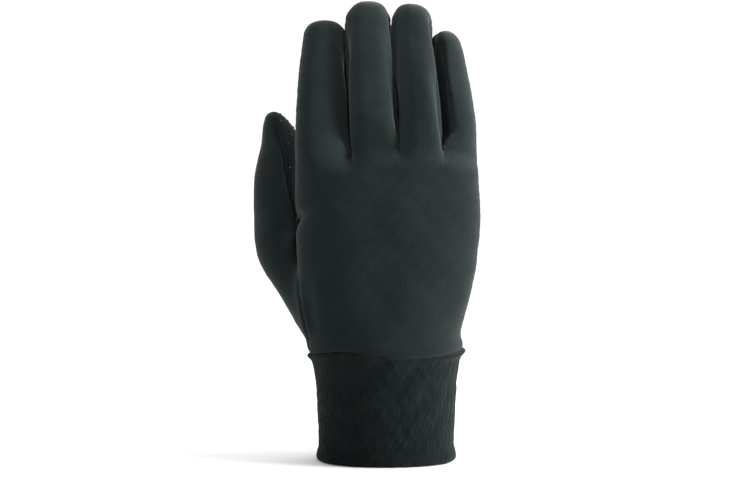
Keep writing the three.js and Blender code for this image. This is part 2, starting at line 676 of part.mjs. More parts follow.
// One panel as a closed solid: its outer face, the same face one wall further in, and the cut
// edges between them, which stand back from the seam by half its gap.
function panelGeometry(name, skin, normals) {
  const cells = skin.cells.filter((cell) => cell.panel === name);
  const edges = new Map();
  cells.forEach(({ loop }) => {
    const facing = faceNormal(skin.points, loop);
    loop.forEach((n, i) => {
      const next = loop[(i + 1) % loop.length];
      if (!edges.delete(next + "," + n)) edges.set(n + "," + next, { n, next, facing });
    });
  });
  const inward = new Map();
  edges.forEach(({ n, next, facing }) => {
    const run = skin.points[next].clone().sub(skin.points[n]);
    const side = facing.clone().cross(run).normalize();
    [n, next].forEach((end) => inward.set(end, (inward.get(end) ?? new THREE.Vector3()).add(side)));
  });
  const outer = new Map();
  const inner = new Map();
  const vertices = [];
  const place = (n) => {
    const p = skin.points[n].clone();
    const sides = inward.get(n); // the two edges' ways inwards, added up
    if (sides) {
      const miter = 2 / Math.max(sides.length(), 2 / LONGEST_MITER);
      p.addScaledVector(sides.clone().normalize(), (miter * SEAM_GAP) / 2);
      if (skin.points[n].z < SKIN_FLOOR + 1e-6) p.z = SKIN_FLOOR;
    }
    outer.set(n, vertices.length);
    vertices.push(p);
    inner.set(n, vertices.length);
    vertices.push(p.clone().addScaledVector(normals[n], -KNIT_WALL));
  };
  new Set(cells.flatMap((cell) => cell.loop)).forEach(place);
  const triangles = [];
  const fan = (loop) => {
    for (let i = 1; i < loop.length - 1; i += 1) triangles.push(loop[0], loop[i], loop[i + 1]);
  };
  cells.forEach(({ loop }) => {
    fan(loop.map((n) => outer.get(n)));
    const under = loop.map((n) => inner.get(n));
    for (let i = 1; i < under.length - 1; i += 1) triangles.push(under[0], under[i + 1], under[i]);
  });
  // Both panels at a seam split its wall along the same diagonal, so that the walls stay parallel.
  edges.forEach(({ n, next }) => {
    const wall = [outer.get(next), outer.get(n), inner.get(n), inner.get(next)];
    fan(n < next ? [...wall.slice(1), wall[0]] : wall);
  });
  return geometryOf(vertices, triangles);
}

// Lifts a point by the wave of the cuff seam.
function waved(p) {
  const degrees = (THREE.MathUtils.radToDeg(Math.atan2(p.y, p.x)) + TURN) % TURN;
  const nearness = 1 - smooth(Math.abs(p.z - CUFF_HEIGHT) / WAVE_FADE);
  return [p.x, p.y, p.z + SEAM_RISE * along(SEAM_WAVE, "rise", degrees) * nearness];
}

function geometryOf(vertices, triangles) {
  const geometry = new THREE.BufferGeometry();
  geometry.setAttribute("position", new THREE.Float32BufferAttribute(vertices.flatMap(waved), 3));
  geometry.setIndex(triangles);
  geometry.computeVertexNormals();
  return geometry;
}

// The cuff: a band folded at the hem, as a closed profile swept round the wrist's oval.
function cuffGeometry() {
  const flareAt = (z) => CUFF_FLARE * along(CUFF_SECTIONS, "flare", z / CUFF_HEIGHT);
  const top = CUFF_HEIGHT - SEAM_GAP / 2;
  const walls = CUFF_LEVELS.map((share) => [0, share * CUFF_HEIGHT]);
  const outerSide = [[HEM_ROLL, 0], [0.3 * HEM_ROLL, 0.3 * HEM_ROLL], ...walls, [0, top]];
  const innerSide = outerSide.map(([inset, z]) => [CUFF_WALL - inset, z]).reverse();
  const profile = [...outerSide, ...innerSide];
  const around = 2 * (FINGERS.length + 1) * ARC_STEPS;
  const vertices = profile.flatMap(([inset, z]) => {
    const halfX = CUFF_WIDTH / 2 + flareAt(z) - inset;
    const halfY = CUFF_DEPTH / 2 + flareAt(z) / 2 - inset;
    return Array.from({ length: around }, (_, i) => {
      const p = roundedPoint(0, 0, halfX, halfY, CUFF_SQUARE, (TURN * i) / around);
      return new THREE.Vector3(p.x, p.y, z);
    });
  });
  const triangles = [];
  profile.forEach((_, row) => {
    const next = (row + 1) % profile.length;
    for (let i = 0; i < around; i += 1) {
      const j = (i + 1) % around;
      const [a, b, c, d] = [row * around + i, row * around + j, next * around + j, next * around + i];
      triangles.push(a, b, c, a, c, d);
    }
  });
  return geometryOf(vertices, triangles);
}

addTrunk();
addPalm();
FINGERS.forEach((_, index) => addFinger(index));
addThumb();

const knit = (name, color, roughness) => new THREE.MeshStandardMaterial({ name, color, roughness });
const brushedKnit = knit("brushed_knit", 0x1d2323, 0.9);
const gripKnit = knit("grip_knit", 0x161b1b, 0.85);
const cuffKnit = knit("cuff_knit", 0x141919, 0.95);

const liner = new THREE.Group();
const skin = weld();
const normals = outwards(skin);
const panels = { back_panel: brushedKnit, thumb_back: brushedKnit, palm_panel: gripKnit };
[0, 1, 2].forEach((left) => {
  panels[stripName(left)] = gripKnit;
});
Object.entries(panels).forEach(([name, material]) => {
  const mesh = new THREE.Mesh(panelGeometry(name, skin, normals), material);
  mesh.name = name;
  liner.add(mesh);
});
const cuff = new THREE.Mesh(cuffGeometry(), cuffKnit);
cuff.name = "cuff";
liner.add(cuff);

export default liner;
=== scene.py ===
"""A worn glove liner for a right hand: sewn panels of brushed stretch knit and a folded cuff.

The hand is one skin of rings, as a pattern cutter would wrap them round a hand: a trunk from the
wrist up, which forks into palm and thumb, and a palm which forks into four fingers. The skin is cut
along its seams into the panels. Sizes are in millimetres until a mesh is made, and the frame is the
part's own: +Z towards the fingertips, the back of the hand towards -Y and the thumb at -X.
"""

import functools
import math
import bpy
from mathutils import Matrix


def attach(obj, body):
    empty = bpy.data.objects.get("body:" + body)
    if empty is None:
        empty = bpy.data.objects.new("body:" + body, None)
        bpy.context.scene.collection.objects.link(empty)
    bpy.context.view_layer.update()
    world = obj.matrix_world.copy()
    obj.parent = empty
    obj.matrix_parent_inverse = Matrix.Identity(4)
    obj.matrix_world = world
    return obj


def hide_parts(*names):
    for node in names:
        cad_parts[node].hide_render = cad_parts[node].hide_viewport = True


bl_info = {
    "name": "Knit Glove Liner",
    "version": (1, 0, 0),
    "blender": (4, 5, 0),
    "location": "View3D > Sidebar > Glove Liner",
    "description": "Makes the sewn panels, cuff, seams and grip dots of a worn glove liner",
    "category": "Object",
}

from types import SimpleNamespace

import bpy
import numpy as np
from mathutils import Vector
from mathutils.kdtree import KDTree

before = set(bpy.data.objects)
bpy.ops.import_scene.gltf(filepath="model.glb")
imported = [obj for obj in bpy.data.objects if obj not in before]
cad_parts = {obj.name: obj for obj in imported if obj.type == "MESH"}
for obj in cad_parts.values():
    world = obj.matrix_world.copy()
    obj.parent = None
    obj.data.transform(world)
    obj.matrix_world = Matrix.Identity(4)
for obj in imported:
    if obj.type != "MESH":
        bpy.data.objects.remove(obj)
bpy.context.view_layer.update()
MM = 0.001
TURN = 360.0
HALF_TURN = 180.0
BODY = "root"
SEED = 20


def lerp(a, b, t):
    return a + (b - a) * t


def smooth(t):
    t = np.clip(t, 0.0, 1.0)
    return t * t * (3.0 - 2.0 * t)


def bell(distance, width):
    return np.exp(-((distance / width) ** 2))


def table(columns, *rows):
    """A table as one array for each named column."""
    return dict(zip(columns.split(), np.array(rows, float).T))


def named_rows(columns, *rows):
    """A table as one record for each row."""
    return [SimpleNamespace(**dict(zip(columns.split(), row))) for row in rows]


def along(rows, column, at):
    """A table's column at a share of its length, on a curve that runs through every row."""
    x, y = rows["at"], rows[column]
    chords = np.diff(y) / np.diff(x)
    slopes = np.concatenate([chords[:1], (chords[1:] + chords[:-1]) / 2, chords[-1:]])
    i = np.searchsorted(x[1:-1], at, side="left")
    run = x[i + 1] - x[i]
    t = np.clip((at - x[i]) / run, 0.0, 1.0)
    here = (1 + 2 * t) * (1 - t) ** 2 * y[i] + t * (1 - t) ** 2 * run * slopes[i]
    there = t * t * (3 - 2 * t) * y[i + 1] + t * t * (t - 1) * run * slopes[i + 1]
    return here + there


# The sizes that lay out the liner. They are the solid model's down to KNUCKLES_FADE, apart from
# FINGER_GAP: soft fingers touch here, and the solids stand 0.4 mm apart.
CUFF_HEIGHT = 57.0
CUFF_WIDTH = 73.0
CUFF_DEPTH = 44.0
CUFF_FLARE = 4.2
CUFF_SQUARE = 2.2
SEAM_GAP = 0.3
FINGER_GAP = 0.05
FINGER_LENGTH = 76.4
FINGER_DEPTH = 22.0
PALM_LENGTH = 108.0
PALM_DEPTH = 33.0
KNUCKLE_WIDTH = 94.8
FINGER_LEAN = -2.55
OUTER_BELLY = 1.1
THUMB_FORK = 64.0
THUMB_LENGTH = 63.5
THUMB_REACH = 71.0
THUMB_WIDTH = 26.4
THUMB_DEPTH = 23.5
THUMB_FORWARD = 20.5
FORK_DIP = 2.5
THUMB_WEB_DIP = 4.0
TIP_ROW_WIDTH = 82.1
TIP_ROW_RISE = 59.0
ROW_START = 0.973
ROW_AHEAD = -0.29
STRIP_END = 0.86
TIP_ROUNDING = 0.52
THENAR_ROUND = 1.14
UNION_SOFTNESS = 9.0
UNION_STARTS = 0.125
THUMB_SEAM_AT_WRIST = 0.84
WEB_AT_WRIST = 0.55
WEB_AT_FORK = 0.7
THUMB_WEB_END = 28.0
FINGER_SETTLES = 0.22
PALM_SETTLES = 0.4
THUMB_SETTLES = 0.42
KNUCKLES_FADE = 0.25
SEAM_RISE = 3.6
WAVE_FADE = 36.0
SLIT_BEND = 0.85
SLIT_BEND_LENGTH = 11.0
SLIT_FADE = 6.0
SLIT_WIDTH = 3.0
SEAM_PULL = 0.05
THUMB_SQUARE = 2.1
THUMB_SHOULDER = 0.8
FOLD_FADE = 0.3
FOLD_TURNS = 0.5
FOLD_FACES = 0.3
CUFF_SLOT = 0.2
CUFF_ROWS = 84
CUFF_SLOT_ROWS = 18
CUFF_INNER_ROWS = 44
CUFF_AROUND = 340
RING_STEP = 1.15
SEAM_RINGS = 5.0
SEAM_RING_SHARE = 0.38
HEM_STEPS = 7
WELD_STEPS = 1e3
NEAR_RINGS = np.array([0.22, 0.45, 0.72])
FINGER_TIP_RINGS = 14
THUMB_TIP_RINGS = 16
OUTLINE_RAYS = 540
HALVINGS = 24
EYE_ACROSS = 0.35
EYE_AHEAD = 0.25
JUST_INSIDE = 0.985
FORK_HEIGHTS = (0.965, 0.981, 1.029, 1.009, 0.955)

WRIST_HALF = CUFF_WIDTH / 2 + CUFF_FLARE
WRIST_DEPTH_HALF = CUFF_DEPTH / 2 + CUFF_FLARE / 2
SKIN_FLOOR = CUFF_HEIGHT + SEAM_GAP / 2
THUMB_FORK_SHARE = THUMB_FORK / PALM_LENGTH

# The four fingers. `base` and `tip` share out the widths of the knuckles and of the row of tips,
# `set` and `curl` are how far back each stands and bends, in finger depths, `rounding` is the tip's
# squareness and `left` and `right` the sides', `bend` bows the slit on its right, `turn` swings its
# right side back, `roll` moves its left seam onto the back, and `web` places its left web's seams.
FINGERS = named_rows(
    "name base tip length depth set curl rounding left right bend turn roll web",
    ("index", 0.311, 0.274, 0.9, 0.98, 0.04, 0.49, 2.8, 1.0, 0.84, 0.5, 0.12, 0.0, 0.0),
    ("middle", 0.266, 0.2775, 0.988, 1.0, -0.045, 0.49, 2.15, 1.35, 1.5, 0.4, 0.0, 0.0, 0.5),
    ("ring", 0.232, 0.2615, 0.95, 0.95, -0.01, 0.53, 2.3, 0.82, 1.4, -0.15, -0.06, 0.0, 0.5),
    ("little", 0.191, 0.187, 0.825, 0.84, 0.21, 0.55, 1.9, 0.95, 1.0, -0.3, 0.1, 55.0, 0.12),
)

FINGER_SECTIONS = table(
    "at depth square strip",
    (0.0, 1.0, 2.7, 22),
    (0.25, 0.97, 2.5, 20),
    (0.5, 0.93, 2.35, 18),
    (0.75, 0.86, 2.25, 15),
    (1.0, 0.82, 2.1, 10),
)

PALM_SECTIONS = table(
    "at seam right back front thumb middle ahead square",
    (0.0, 0.0, 0.0, 0.0, 0.0, 0.0, 0.0, 0.0, CUFF_SQUARE),
    (0.04, 0.0, -0.18, 0.1, 0.1, 0.0, -0.01, 0.02, 2.2),
    (0.085, 0.1, -0.24, 0.24, 0.22, 0.035, -0.03, 0.1, 2.25),
    (0.16, 0.36, -0.04, 0.46, 0.42, 0.235, -0.07, 0.3, 2.3),
    (0.28, 0.68, 0.4, 0.72, 0.68, 0.55, -0.12, 0.56, 2.35),
    (0.43, 0.88, 0.89, 0.93, 0.88, 0.9, -0.165, 0.84, 2.4),
    (0.513, 0.96, 1.03, 0.98, 0.93, 0.976, -0.18, 0.92, 2.45),
    (0.6, 0.98, 1.12, 1.0, 0.97, 1.0, -0.19, 0.97, 2.5),
    (0.7, 1.0, 1.17, 1.02, 1.0, 1.0, -0.195, 1.0, 2.5),
    (0.85, 1.0, 1.08, 1.16, 1.14, 1.0, -0.195, 1.0, 2.55),
    (1.0, 1.0, 1.0, 1.45, 1.4, 1.0, -0.193, 1.0, 2.7),
)

THUMB_SECTIONS = table(
    "at middle ahead width depth seam",
    (0.0, 0.0, 0.0, 1.0, 1.0, 32),
    (0.25, -0.01, 0.04, 1.0, 0.97, 28),
    (0.45, 0.0, 0.08, 0.98, 0.93, 20),
    (0.6, 0.045, 0.1, 0.92, 0.88, 10),
    (0.72, 0.06, 0.1, 0.82, 0.8, 0),
    (0.83, 0.02, 0.1, 0.67, 0.7, -8),
    (0.91, -0.03, 0.09, 0.5, 0.56, -12),
    (0.965, -0.07, 0.08, 0.31, 0.36, -14),
    (1.0, -0.1, 0.08, 0.0, 0.0, -14),
)

CUFF_SECTIONS = table(
    "at flare",
    (0.0, -0.12),
    (0.3, -0.08),
    (0.58, 0.08),
    (0.8, 0.34),
    (0.93, 0.62),
    (1.0, 1.0),
)

SEAM_WAVE = table(
    "at rise",
    (0, 0.78),
    (60, 0.33),
    (120, 0.33),
    (180, 0.0),
    (207, 0.6),
    (225, 1.0),
    (255, 0.5),
    (290, 0.17),
    (330, 0.4),
    (360, 0.78),
)

# Soft folds of the worn cloth. Each runs between two places, given across the hand as shares of half
# the knuckle width and up from the cuff seam as shares of the palm's length. `bow` bends it, `width`
# and `height` are millimetres, with dents below zero, and `side` is -1 on the back, 1 on the palm.
FOLDS = named_rows(
    "from_x from_z to_x to_z bow width height side",
    (-1.16, 0.44, -0.95, 0.62, 0.8, 2.4, 0.9, -1),
    (-1.24, 0.52, -1.06, 0.66, 1.2, 3.6, -1.0, -1),
    (-0.98, 0.40, -0.89, 0.10, -0.6, 2.6, 0.5, -1),
    (-0.88, 0.46, -0.77, 0.06, -0.8, 3.4, -0.9, -1),
    (-0.80, 0.15, -0.55, 0.20, 0.6, 1.7, 0.45, -1),
    (-0.78, 0.20, -0.50, 0.23, 0.5, 1.9, -0.4, -1),
    (-0.70, 0.09, -0.30, 0.11, 0.6, 2.2, 0.35, -1),
    (0.25, 0.13, 0.80, 0.17, 0.8, 2.8, 0.3, -1),
    (-0.62, 0.36, -0.10, 0.82, 5.0, 4.0, -0.8, 1),
    (-0.30, 0.70, 0.62, 0.60, 2.0, 3.0, -0.6, 1),
    (-0.10, 0.84, 0.74, 0.80, 2.0, 3.0, -0.6, 1),
    (-0.40, 0.08, 0.30, 0.10, 1.0, 2.4, 0.5, 1),
)


def graded(steps):
    """Shares from 0 to 1, closer together at both ends, where a seam needs small faces."""
    i = np.arange(steps) + 0.5
    near = np.minimum(i, steps - i)
    sizes = lerp(SEAM_RING_SHARE, 1.0, smooth(near / SEAM_RINGS))
    return np.concatenate([[0.0], np.cumsum(sizes)]) / sizes.sum()


ARC = graded(30)
SIDE = graded(12)


def rounded_points(middle_x, middle_y, half_x, half_y, square, degrees):
    """Points of a rounded-square section at angles from +X through +Y."""
    angle = np.radians(degrees)

    def power(value):
        return np.sign(value) * np.abs(value) ** (2.0 / square)

    return np.stack(
        [middle_x + half_x * power(np.cos(angle)), middle_y + half_y * power(np.sin(angle))], 1
    )


def palm_section(at):
    def read(column):
        return float(along(PALM_SECTIONS, column, at))

    root = THUMB_WIDTH / 2 * lerp(THENAR_ROUND, 1.0, smooth(at / THUMB_FORK_SHARE))
    thumb = read("thumb")
    return SimpleNamespace(
        middle=read("middle") * PALM_DEPTH,
        seam=lerp(WRIST_HALF, KNUCKLE_WIDTH / 2, read("seam")),
        right=lerp(WRIST_HALF, KNUCKLE_WIDTH / 2, read("right")),
        back=lerp(WRIST_DEPTH_HALF, PALM_DEPTH / 2, read("back")),
        front=lerp(WRIST_DEPTH_HALF, PALM_DEPTH / 2, read("front")),
        square=read("square"),
        root=root,
        root_x=root - lerp(WRIST_HALF, THUMB_REACH, thumb),
        root_y=read("ahead") * THUMB_FORWARD,
        thumb_seam=-lerp(WRIST_HALF * THUMB_SEAM_AT_WRIST, THUMB_REACH - THUMB_WIDTH / 2, thumb),
        web=-lerp(WRIST_HALF * WEB_AT_WRIST, KNUCKLE_WIDTH / 2 * WEB_AT_FORK, thumb),
        softness=UNION_SOFTNESS * float(smooth(at / UNION_STARTS)),
    )


def outside_trunk(s, x, y):
    """How far outside the palm, run softly together with the thumb's root, a point lies."""
    half_x = (s.seam + s.right) / 2
    half_y = np.where(y < s.middle, s.back, s.front)
    u = np.abs((x - (s.right - s.seam) / 2) / half_x)
    v = np.abs((y - s.middle) / half_y)
    palm = ((u**s.square + v**s.square) ** (1 / s.square) - 1) * np.minimum(half_x, half_y)
    root = np.hypot(x - s.root_x, y - s.root_y) - s.root
    if s.softness < 1e-6:
        return np.minimum(palm, root)
    share = np.clip(0.5 + (root - palm) / (2 * s.softness), 0, 1)
    return lerp(root, palm, share) - s.softness * share * (1 - share)


def trunk_outline(s):
    angle = np.linspace(0, 2 * np.pi, OUTLINE_RAYS, endpoint=False)[:, None]
    eye_x, eye_y = s.root_x * EYE_ACROSS, s.root_y * EYE_AHEAD

    def outside(distance):
        return outside_trunk(s, eye_x + np.cos(angle) * distance, eye_y + np.sin(angle) * distance)

    steps = np.arange(0.0, 2 * KNUCKLE_WIDTH)[None, :]
    last_inside = steps.shape[1] - 1 - np.argmax((outside(steps) <= 0)[:, ::-1], axis=1)
    near = last_inside[:, None].astype(float)
    far = near + 1.0
    for _ in range(HALVINGS):
        half = (near + far) / 2
        out = outside(half) > 0
        near, far = np.where(out, near, half), np.where(out, half, far)
    return np.hstack([eye_x + np.cos(angle) * far, eye_y + np.sin(angle) * far])


def palm_outline(s):
    degrees = np.linspace(0, TURN, OUTLINE_RAYS, endpoint=False)
    half_y = np.where(degrees > HALF_TURN, s.back, s.front)
    middle_x, half_x = (s.right - s.seam) / 2, (s.seam + s.right) / 2
    return rounded_points(middle_x, s.middle, half_x, half_y, s.square, degrees)


def crossing(outline, x, on_back):
    """Where an outline passes x, as a fractional index, on the back's side or the palm's."""
    here, there = outline[:, 0], np.roll(outline[:, 0], -1)
    passes = ((there > here) == on_back) & ((here - x) * (there - x) <= 0) & (here != there)
    i = int(np.flatnonzero(passes)[0])
    return i + (x - here[i]) / (there[i] - here[i])


def extreme(outline, sign):
    """The outline's furthest point along X, as a fractional index."""
    reach = outline[:, 0] * sign
    i = int(reach.argmax())
    before, at, after = reach[i - 1], reach[i], reach[(i + 1) % len(reach)]
    return i + 0.5 * (before - after) / (before - 2 * at + after)


def spaced(outline, start, end, shares):
    """Points of an outline at shares of the way from one fractional index on to another."""
    count = len(outline)
    start = start % count
    end = end % count
    end = end + count if end <= start else end
    at = np.concatenate([[start], np.arange(math.floor(start) + 1, math.ceil(end)), [end]])
    i = np.floor(at).astype(int)
    part = (at - i)[:, None]
    path = outline[i % count] * (1 - part) + outline[(i + 1) % count] * part
    lengths = np.concatenate([[0.0], np.cumsum(np.linalg.norm(np.diff(path, axis=0), axis=1))])
    wanted = shares * lengths[-1]
    return np.stack([np.interp(wanted, lengths, path[:, k]) for k in (0, 1)], 1)


def divider_row(column, width, middle):
    widths = np.array([getattr(finger, column) for finger in FINGERS])
    return middle - width / 2 + np.concatenate([[0.0], np.cumsum(widths)]) * width / widths.sum()


DIVIDERS = SimpleNamespace(
    forks=divider_row("base", KNUCKLE_WIDTH, 0.0),
    tips=divider_row("tip", TIP_ROW_WIDTH, FINGER_LEAN),
    bends=[0.0] + [finger.bend for finger in FINGERS],
)


def divider_x(line, rise):
    share = rise + DIVIDERS.bends[line] * rise * (1 - rise)
    return lerp(DIVIDERS.forks[line], DIVIDERS.tips[line], share)


def fork_height(place):
    return PALM_LENGTH * np.interp(place, np.arange(len(FORK_HEIGHTS)), FORK_HEIGHTS)


def palm_arcs(outline, s, has_thumb):
    """A palm ring's arcs over the back and front of each finger's column, and what closes it."""
    lines = (DIVIDERS.forks[1:-1] - DIVIDERS.forks[0]) / KNUCKLE_WIDTH
    columns = lerp(-s.seam, s.right, lines)
    far_side = extreme(outline, 1)
    if has_thumb:
        seam_at = crossing(outline, max(-s.seam, outline[:, 0].min() * JUST_INSIDE), True)
    else:
        seam_at = extreme(outline, -1)
    web_at = crossing(outline, s.web, False)
    backs = [seam_at, *(crossing(outline, x, True) for x in columns), far_side]
    fronts = [far_side, *(crossing(outline, x, False) for x in columns[::-1]), web_at]
    arcs = {}
    for i in range(len(FINGERS)):
        arcs[f"back{i}"] = spaced(outline, backs[i], backs[i + 1], ARC)
        arcs[f"front{i}"] = spaced(outline, fronts[i], fronts[i + 1], ARC)
    if has_thumb:
        root_at = crossing(outline, s.thumb_seam, False)
        arcs["root_front"] = spaced(outline, web_at, root_at, ARC)
        arcs["root_back"] = spaced(outline, root_at, seam_at, ARC)
    else:
        arcs["side"] = spaced(outline, web_at, seam_at, SIDE)
    return arcs


def lifted(points, z):
    return np.column_stack([points, np.broadcast_to(z, len(points))])


def trunk_ring(at):
    s = palm_section(at)
    arcs = palm_arcs(trunk_outline(s), s, True)
    return {name: lifted(arc, SKIN_FLOOR + PALM_LENGTH * at) for name, arc in arcs.items()}


def palm_own(t):
    s = palm_section(lerp(THUMB_FORK_SHARE, 1.0, t))
    arcs = palm_arcs(palm_outline(s), s, False)

    def height(place):
        return SKIN_FLOOR + lerp(THUMB_FORK, fork_height(place), t)

    ring = {"side": lifted(arcs["side"], height(0.0))}
    for i in range(len(FINGERS)):
        ring[f"back{i}"] = lifted(arcs[f"back{i}"], height(i + ARC))
        ring[f"front{i}"] = lifted(arcs[f"front{i}"], height(len(FINGERS) - i - ARC))
    return ring


def finger_rounding(index):
    finger = FINGERS[index]
    width = TIP_ROW_WIDTH * finger.tip - FINGER_GAP
    return TIP_ROUNDING * width / (finger.length * FINGER_LENGTH)


def finger_own(index, t):
    """A finger's own ring at a share of its length."""
    finger = FINGERS[index]
    first, last = index == 0, index == len(FINGERS) - 1
    length, depth = finger.length * FINGER_LENGTH, finger.depth * FINGER_DEPTH
    base = SKIN_FLOOR + (fork_height(index) + fork_height(index + 1)) / 2
    above_start = base + t * length - SKIN_FLOOR - ROW_START * PALM_LENGTH
    rise = min(1.0, max(0.0, above_start / TIP_ROW_RISE))
    bow = OUTER_BELLY * 4 * rise * (1 - rise)
    left = divider_x(index, rise) + (-bow if first else FINGER_GAP / 2)
    right = divider_x(index + 1, rise) + (bow if last else -FINGER_GAP / 2)
    rounding = finger_rounding(index)
    in_tip = min(1.0, max(0.0, (t - 1 + rounding) / rounding))
    closing = (1 - in_tip**finger.rounding) ** (1 / finger.rounding)
    half_x = (right - left) / 2 * closing
    half_y = depth / 2 * along(FINGER_SECTIONS, "depth", t) * closing
    square = along(FINGER_SECTIONS, "square", t)
    strip = along(FINGER_SECTIONS, "strip", t)
    middle_y = FINGER_DEPTH * (ROW_AHEAD + finger.set + finger.curl * t * t)
    tilt = math.atan(2 * finger.curl * FINGER_DEPTH * t / length)

    def arc(start, end, shares):
        degrees = lerp(start, end, shares)
        sides = np.where(np.cos(np.radians(degrees)) < 0, finger.left, finger.right)
        p = rounded_points((left + right) / 2, 0.0, half_x, half_y, square * sides, degrees)
        y = middle_y + p[:, 1] * math.cos(tilt) + finger.turn * (p[:, 0] - (left + right) / 2)
        return np.column_stack([p[:, 0], y, base + t * length - p[:, 1] * math.sin(tilt)])

    edge = 0.0 if last else strip
    back_from = HALF_TURN + finger.roll + (0.0 if first else strip)
    front_to = TURN + HALF_TURN - (2 if first else 1) * strip
    return {
        "back": arc(back_from, TURN - edge, ARC),
        "right": arc(TURN - edge, TURN + edge, SIDE),
        "front": arc(TURN + edge, front_to, ARC),
        "left": arc(front_to, TURN + back_from, SIDE),
    }


def thumb_own(t):
    """The thumb's own ring at a share of its length above the fork."""
    root = palm_section(THUMB_FORK_SHARE)

    def read(column):
        return float(along(THUMB_SECTIONS, column, t))

    middle_x = root.root_x + read("middle") * THUMB_WIDTH
    middle_y = root.root_y + read("ahead") * THUMB_DEPTH
    half_x, half_y = read("width") * THUMB_WIDTH / 2, read("depth") * THUMB_DEPTH / 2
    back_seam, front_seam = TURN * 3 / 4 + read("seam"), TURN / 4
    web_end = TURN + THUMB_WEB_END

    def arc(start, end, shares):
        p = rounded_points(middle_x, middle_y, half_x, half_y, THUMB_SQUARE, lerp(start, end, shares))
        return lifted(p, SKIN_FLOOR + THUMB_FORK + t * THUMB_LENGTH)

    return {
        "root_back": arc(front_seam, back_seam, ARC),
        "web": arc(back_seam, web_end, SIDE),
        "root_front": arc(web_end, TURN + front_seam, ARC),
    }


def web_line(start, end, dip):
    line = lerp(start, end, SIDE[:, None])
    line[:, 2] -= dip * 4 * SIDE * (1 - SIDE)
    return line


def finger_forks():
    """The rings where the palm forks, with the webs that neighbouring fingers share."""
    own = [finger_own(i, 0.0) for i in range(len(FINGERS))]
    webs = []
    for line in range(1, len(FINGERS)):
        web = lerp(own[line - 1]["right"], own[line]["left"][::-1], FINGERS[line].web)
        web[:, 2] = SKIN_FLOOR + fork_height(line) - FORK_DIP * 4 * SIDE * (1 - SIDE)
        webs.append(web)
    forks = []

    def bridge(arc, start, end, place_from, place_to):
        moved = arc + lerp(start - arc[0], end - arc[-1], ARC[:, None])
        moved[:, 2] = SKIN_FLOOR + fork_height(lerp(place_from, place_to, ARC))
        return moved

    def outer_side(arc, place):
        return lifted(arc[:, :2], SKIN_FLOOR + fork_height(place))

    for i, finger in enumerate(own):
        right = webs[i] if i < len(webs) else outer_side(finger["right"], i + 1)
        left = webs[i - 1][::-1] if i else outer_side(finger["left"], 0)
        forks.append(
            {
                "back": bridge(finger["back"], left[-1], right[0], i, i + 1),
                "right": right,
                "front": bridge(finger["front"], right[-1], left[0], i + 1, i),
                "left": left,
            }
        )
    return own, forks


def settle(own, own_at_fork, fork, weight):
    """A ring that leaves its fork's shape for its own as the weight falls from 1 to 0."""
    return {name: own[name] + (fork[name] - own_at_fork[name]) * weight for name in own}


def levels_between(start, end, step, dense_start=False):
    """Levels a step apart, closer just after the start where a seam or fork needs it."""
    count = max(4, round((end - start) / step))
    levels = np.linspace(start, end, count + 1)
    if not dense_start:
        return levels
    near = start + (levels[1] - start) * NEAR_RINGS
    return np.concatenate([levels[:1], near, levels[1:]])


def tip_levels(start, count):
    """Levels from a tip's shoulder up to its end, closer together as it closes."""
    return start + (1 - start) * np.sin(np.linspace(0, np.pi / 2, count))[1:]


class Skin:
    """Faces gathered tube by tube, each with its panel."""

    def __init__(self):
        self.corners = []
        self.panels = []

    def add(self, rings, panel_of):
        for name in rings[0]:
            grid = np.stack([ring[name] for ring in rings])
            quads = np.stack([grid[:-1, :-1], grid[:-1, 1:], grid[1:, 1:], grid[1:, :-1]], 2)
            self.corners.append(quads.reshape(-1, 4, 3))
            names = panel_of(name, quads.shape[1])
            self.panels.append(np.broadcast_to(names, quads.shape[:2]).reshape(-1))

    def weld(self):
        corners = np.concatenate(self.corners).reshape(-1, 3)
        _, first, numbers = np.unique(
            np.round(corners * WELD_STEPS).astype(np.int64), axis=0, return_index=True, return_inverse=True
        )
        return corners[first], numbers.reshape(-1, 4), np.concatenate(self.panels)


def strip_name(left):
    return f"side_strip_{FINGERS[left].name}_{FINGERS[left + 1].name}"


def hand_panel_of(name, _):
    if name.startswith("back"):
        return "back_panel"
    return "thumb_back" if name == "root_back" else "palm_panel"


def build_skin():
    """The welded skin before any seam or fold is pressed into it."""
    skin = Skin()
    trunk = [trunk_ring(at / PALM_LENGTH) for at in levels_between(0, THUMB_FORK, RING_STEP, True)]
    skin.add(trunk, hand_panel_of)
    fork = dict(trunk[-1])
    web = web_line(fork["back0"][0], fork["front3"][-1], THUMB_WEB_DIP)
    own, tops = finger_forks()
    top = {"side": tops[0]["left"]}
    for i in range(len(FINGERS)):
        top[f"back{i}"] = tops[i]["back"]
        top[f"front{i}"] = tops[-1 - i]["front"]
    fork["side"] = web[::-1]
    start, end = palm_own(0.0), palm_own(1.0)
    palm = [{name: fork[name] for name in start}]
    for t in levels_between(0, 1, RING_STEP / (PALM_LENGTH - THUMB_FORK))[1:-1]:
        ring = settle(palm_own(t), start, fork, 1 - smooth(t / PALM_SETTLES))
        palm.append(settle(ring, end, top, smooth((t - 1 + KNUCKLES_FADE) / KNUCKLES_FADE)))
    palm.append(top)
    skin.add([{name: ring[name] for name in start} for ring in palm], hand_panel_of)
    for i in range(len(FINGERS)):
        add_finger(skin, i, own[i], tops[i])
    thumb_start = thumb_own(0.0)
    thumb_fork = {"root_back": fork["root_back"], "web": web, "root_front": fork["root_front"]}
    rings = [thumb_fork]
    body = levels_between(0, THUMB_SHOULDER, RING_STEP / THUMB_LENGTH, True)[1:]
    for t in np.concatenate([body, tip_levels(THUMB_SHOULDER, THUMB_TIP_RINGS)]):
        rings.append(settle(thumb_own(t), thumb_start, thumb_fork, 1 - smooth(t / THUMB_SETTLES)))
    skin.add(rings, hand_panel_of)
    return skin.weld()


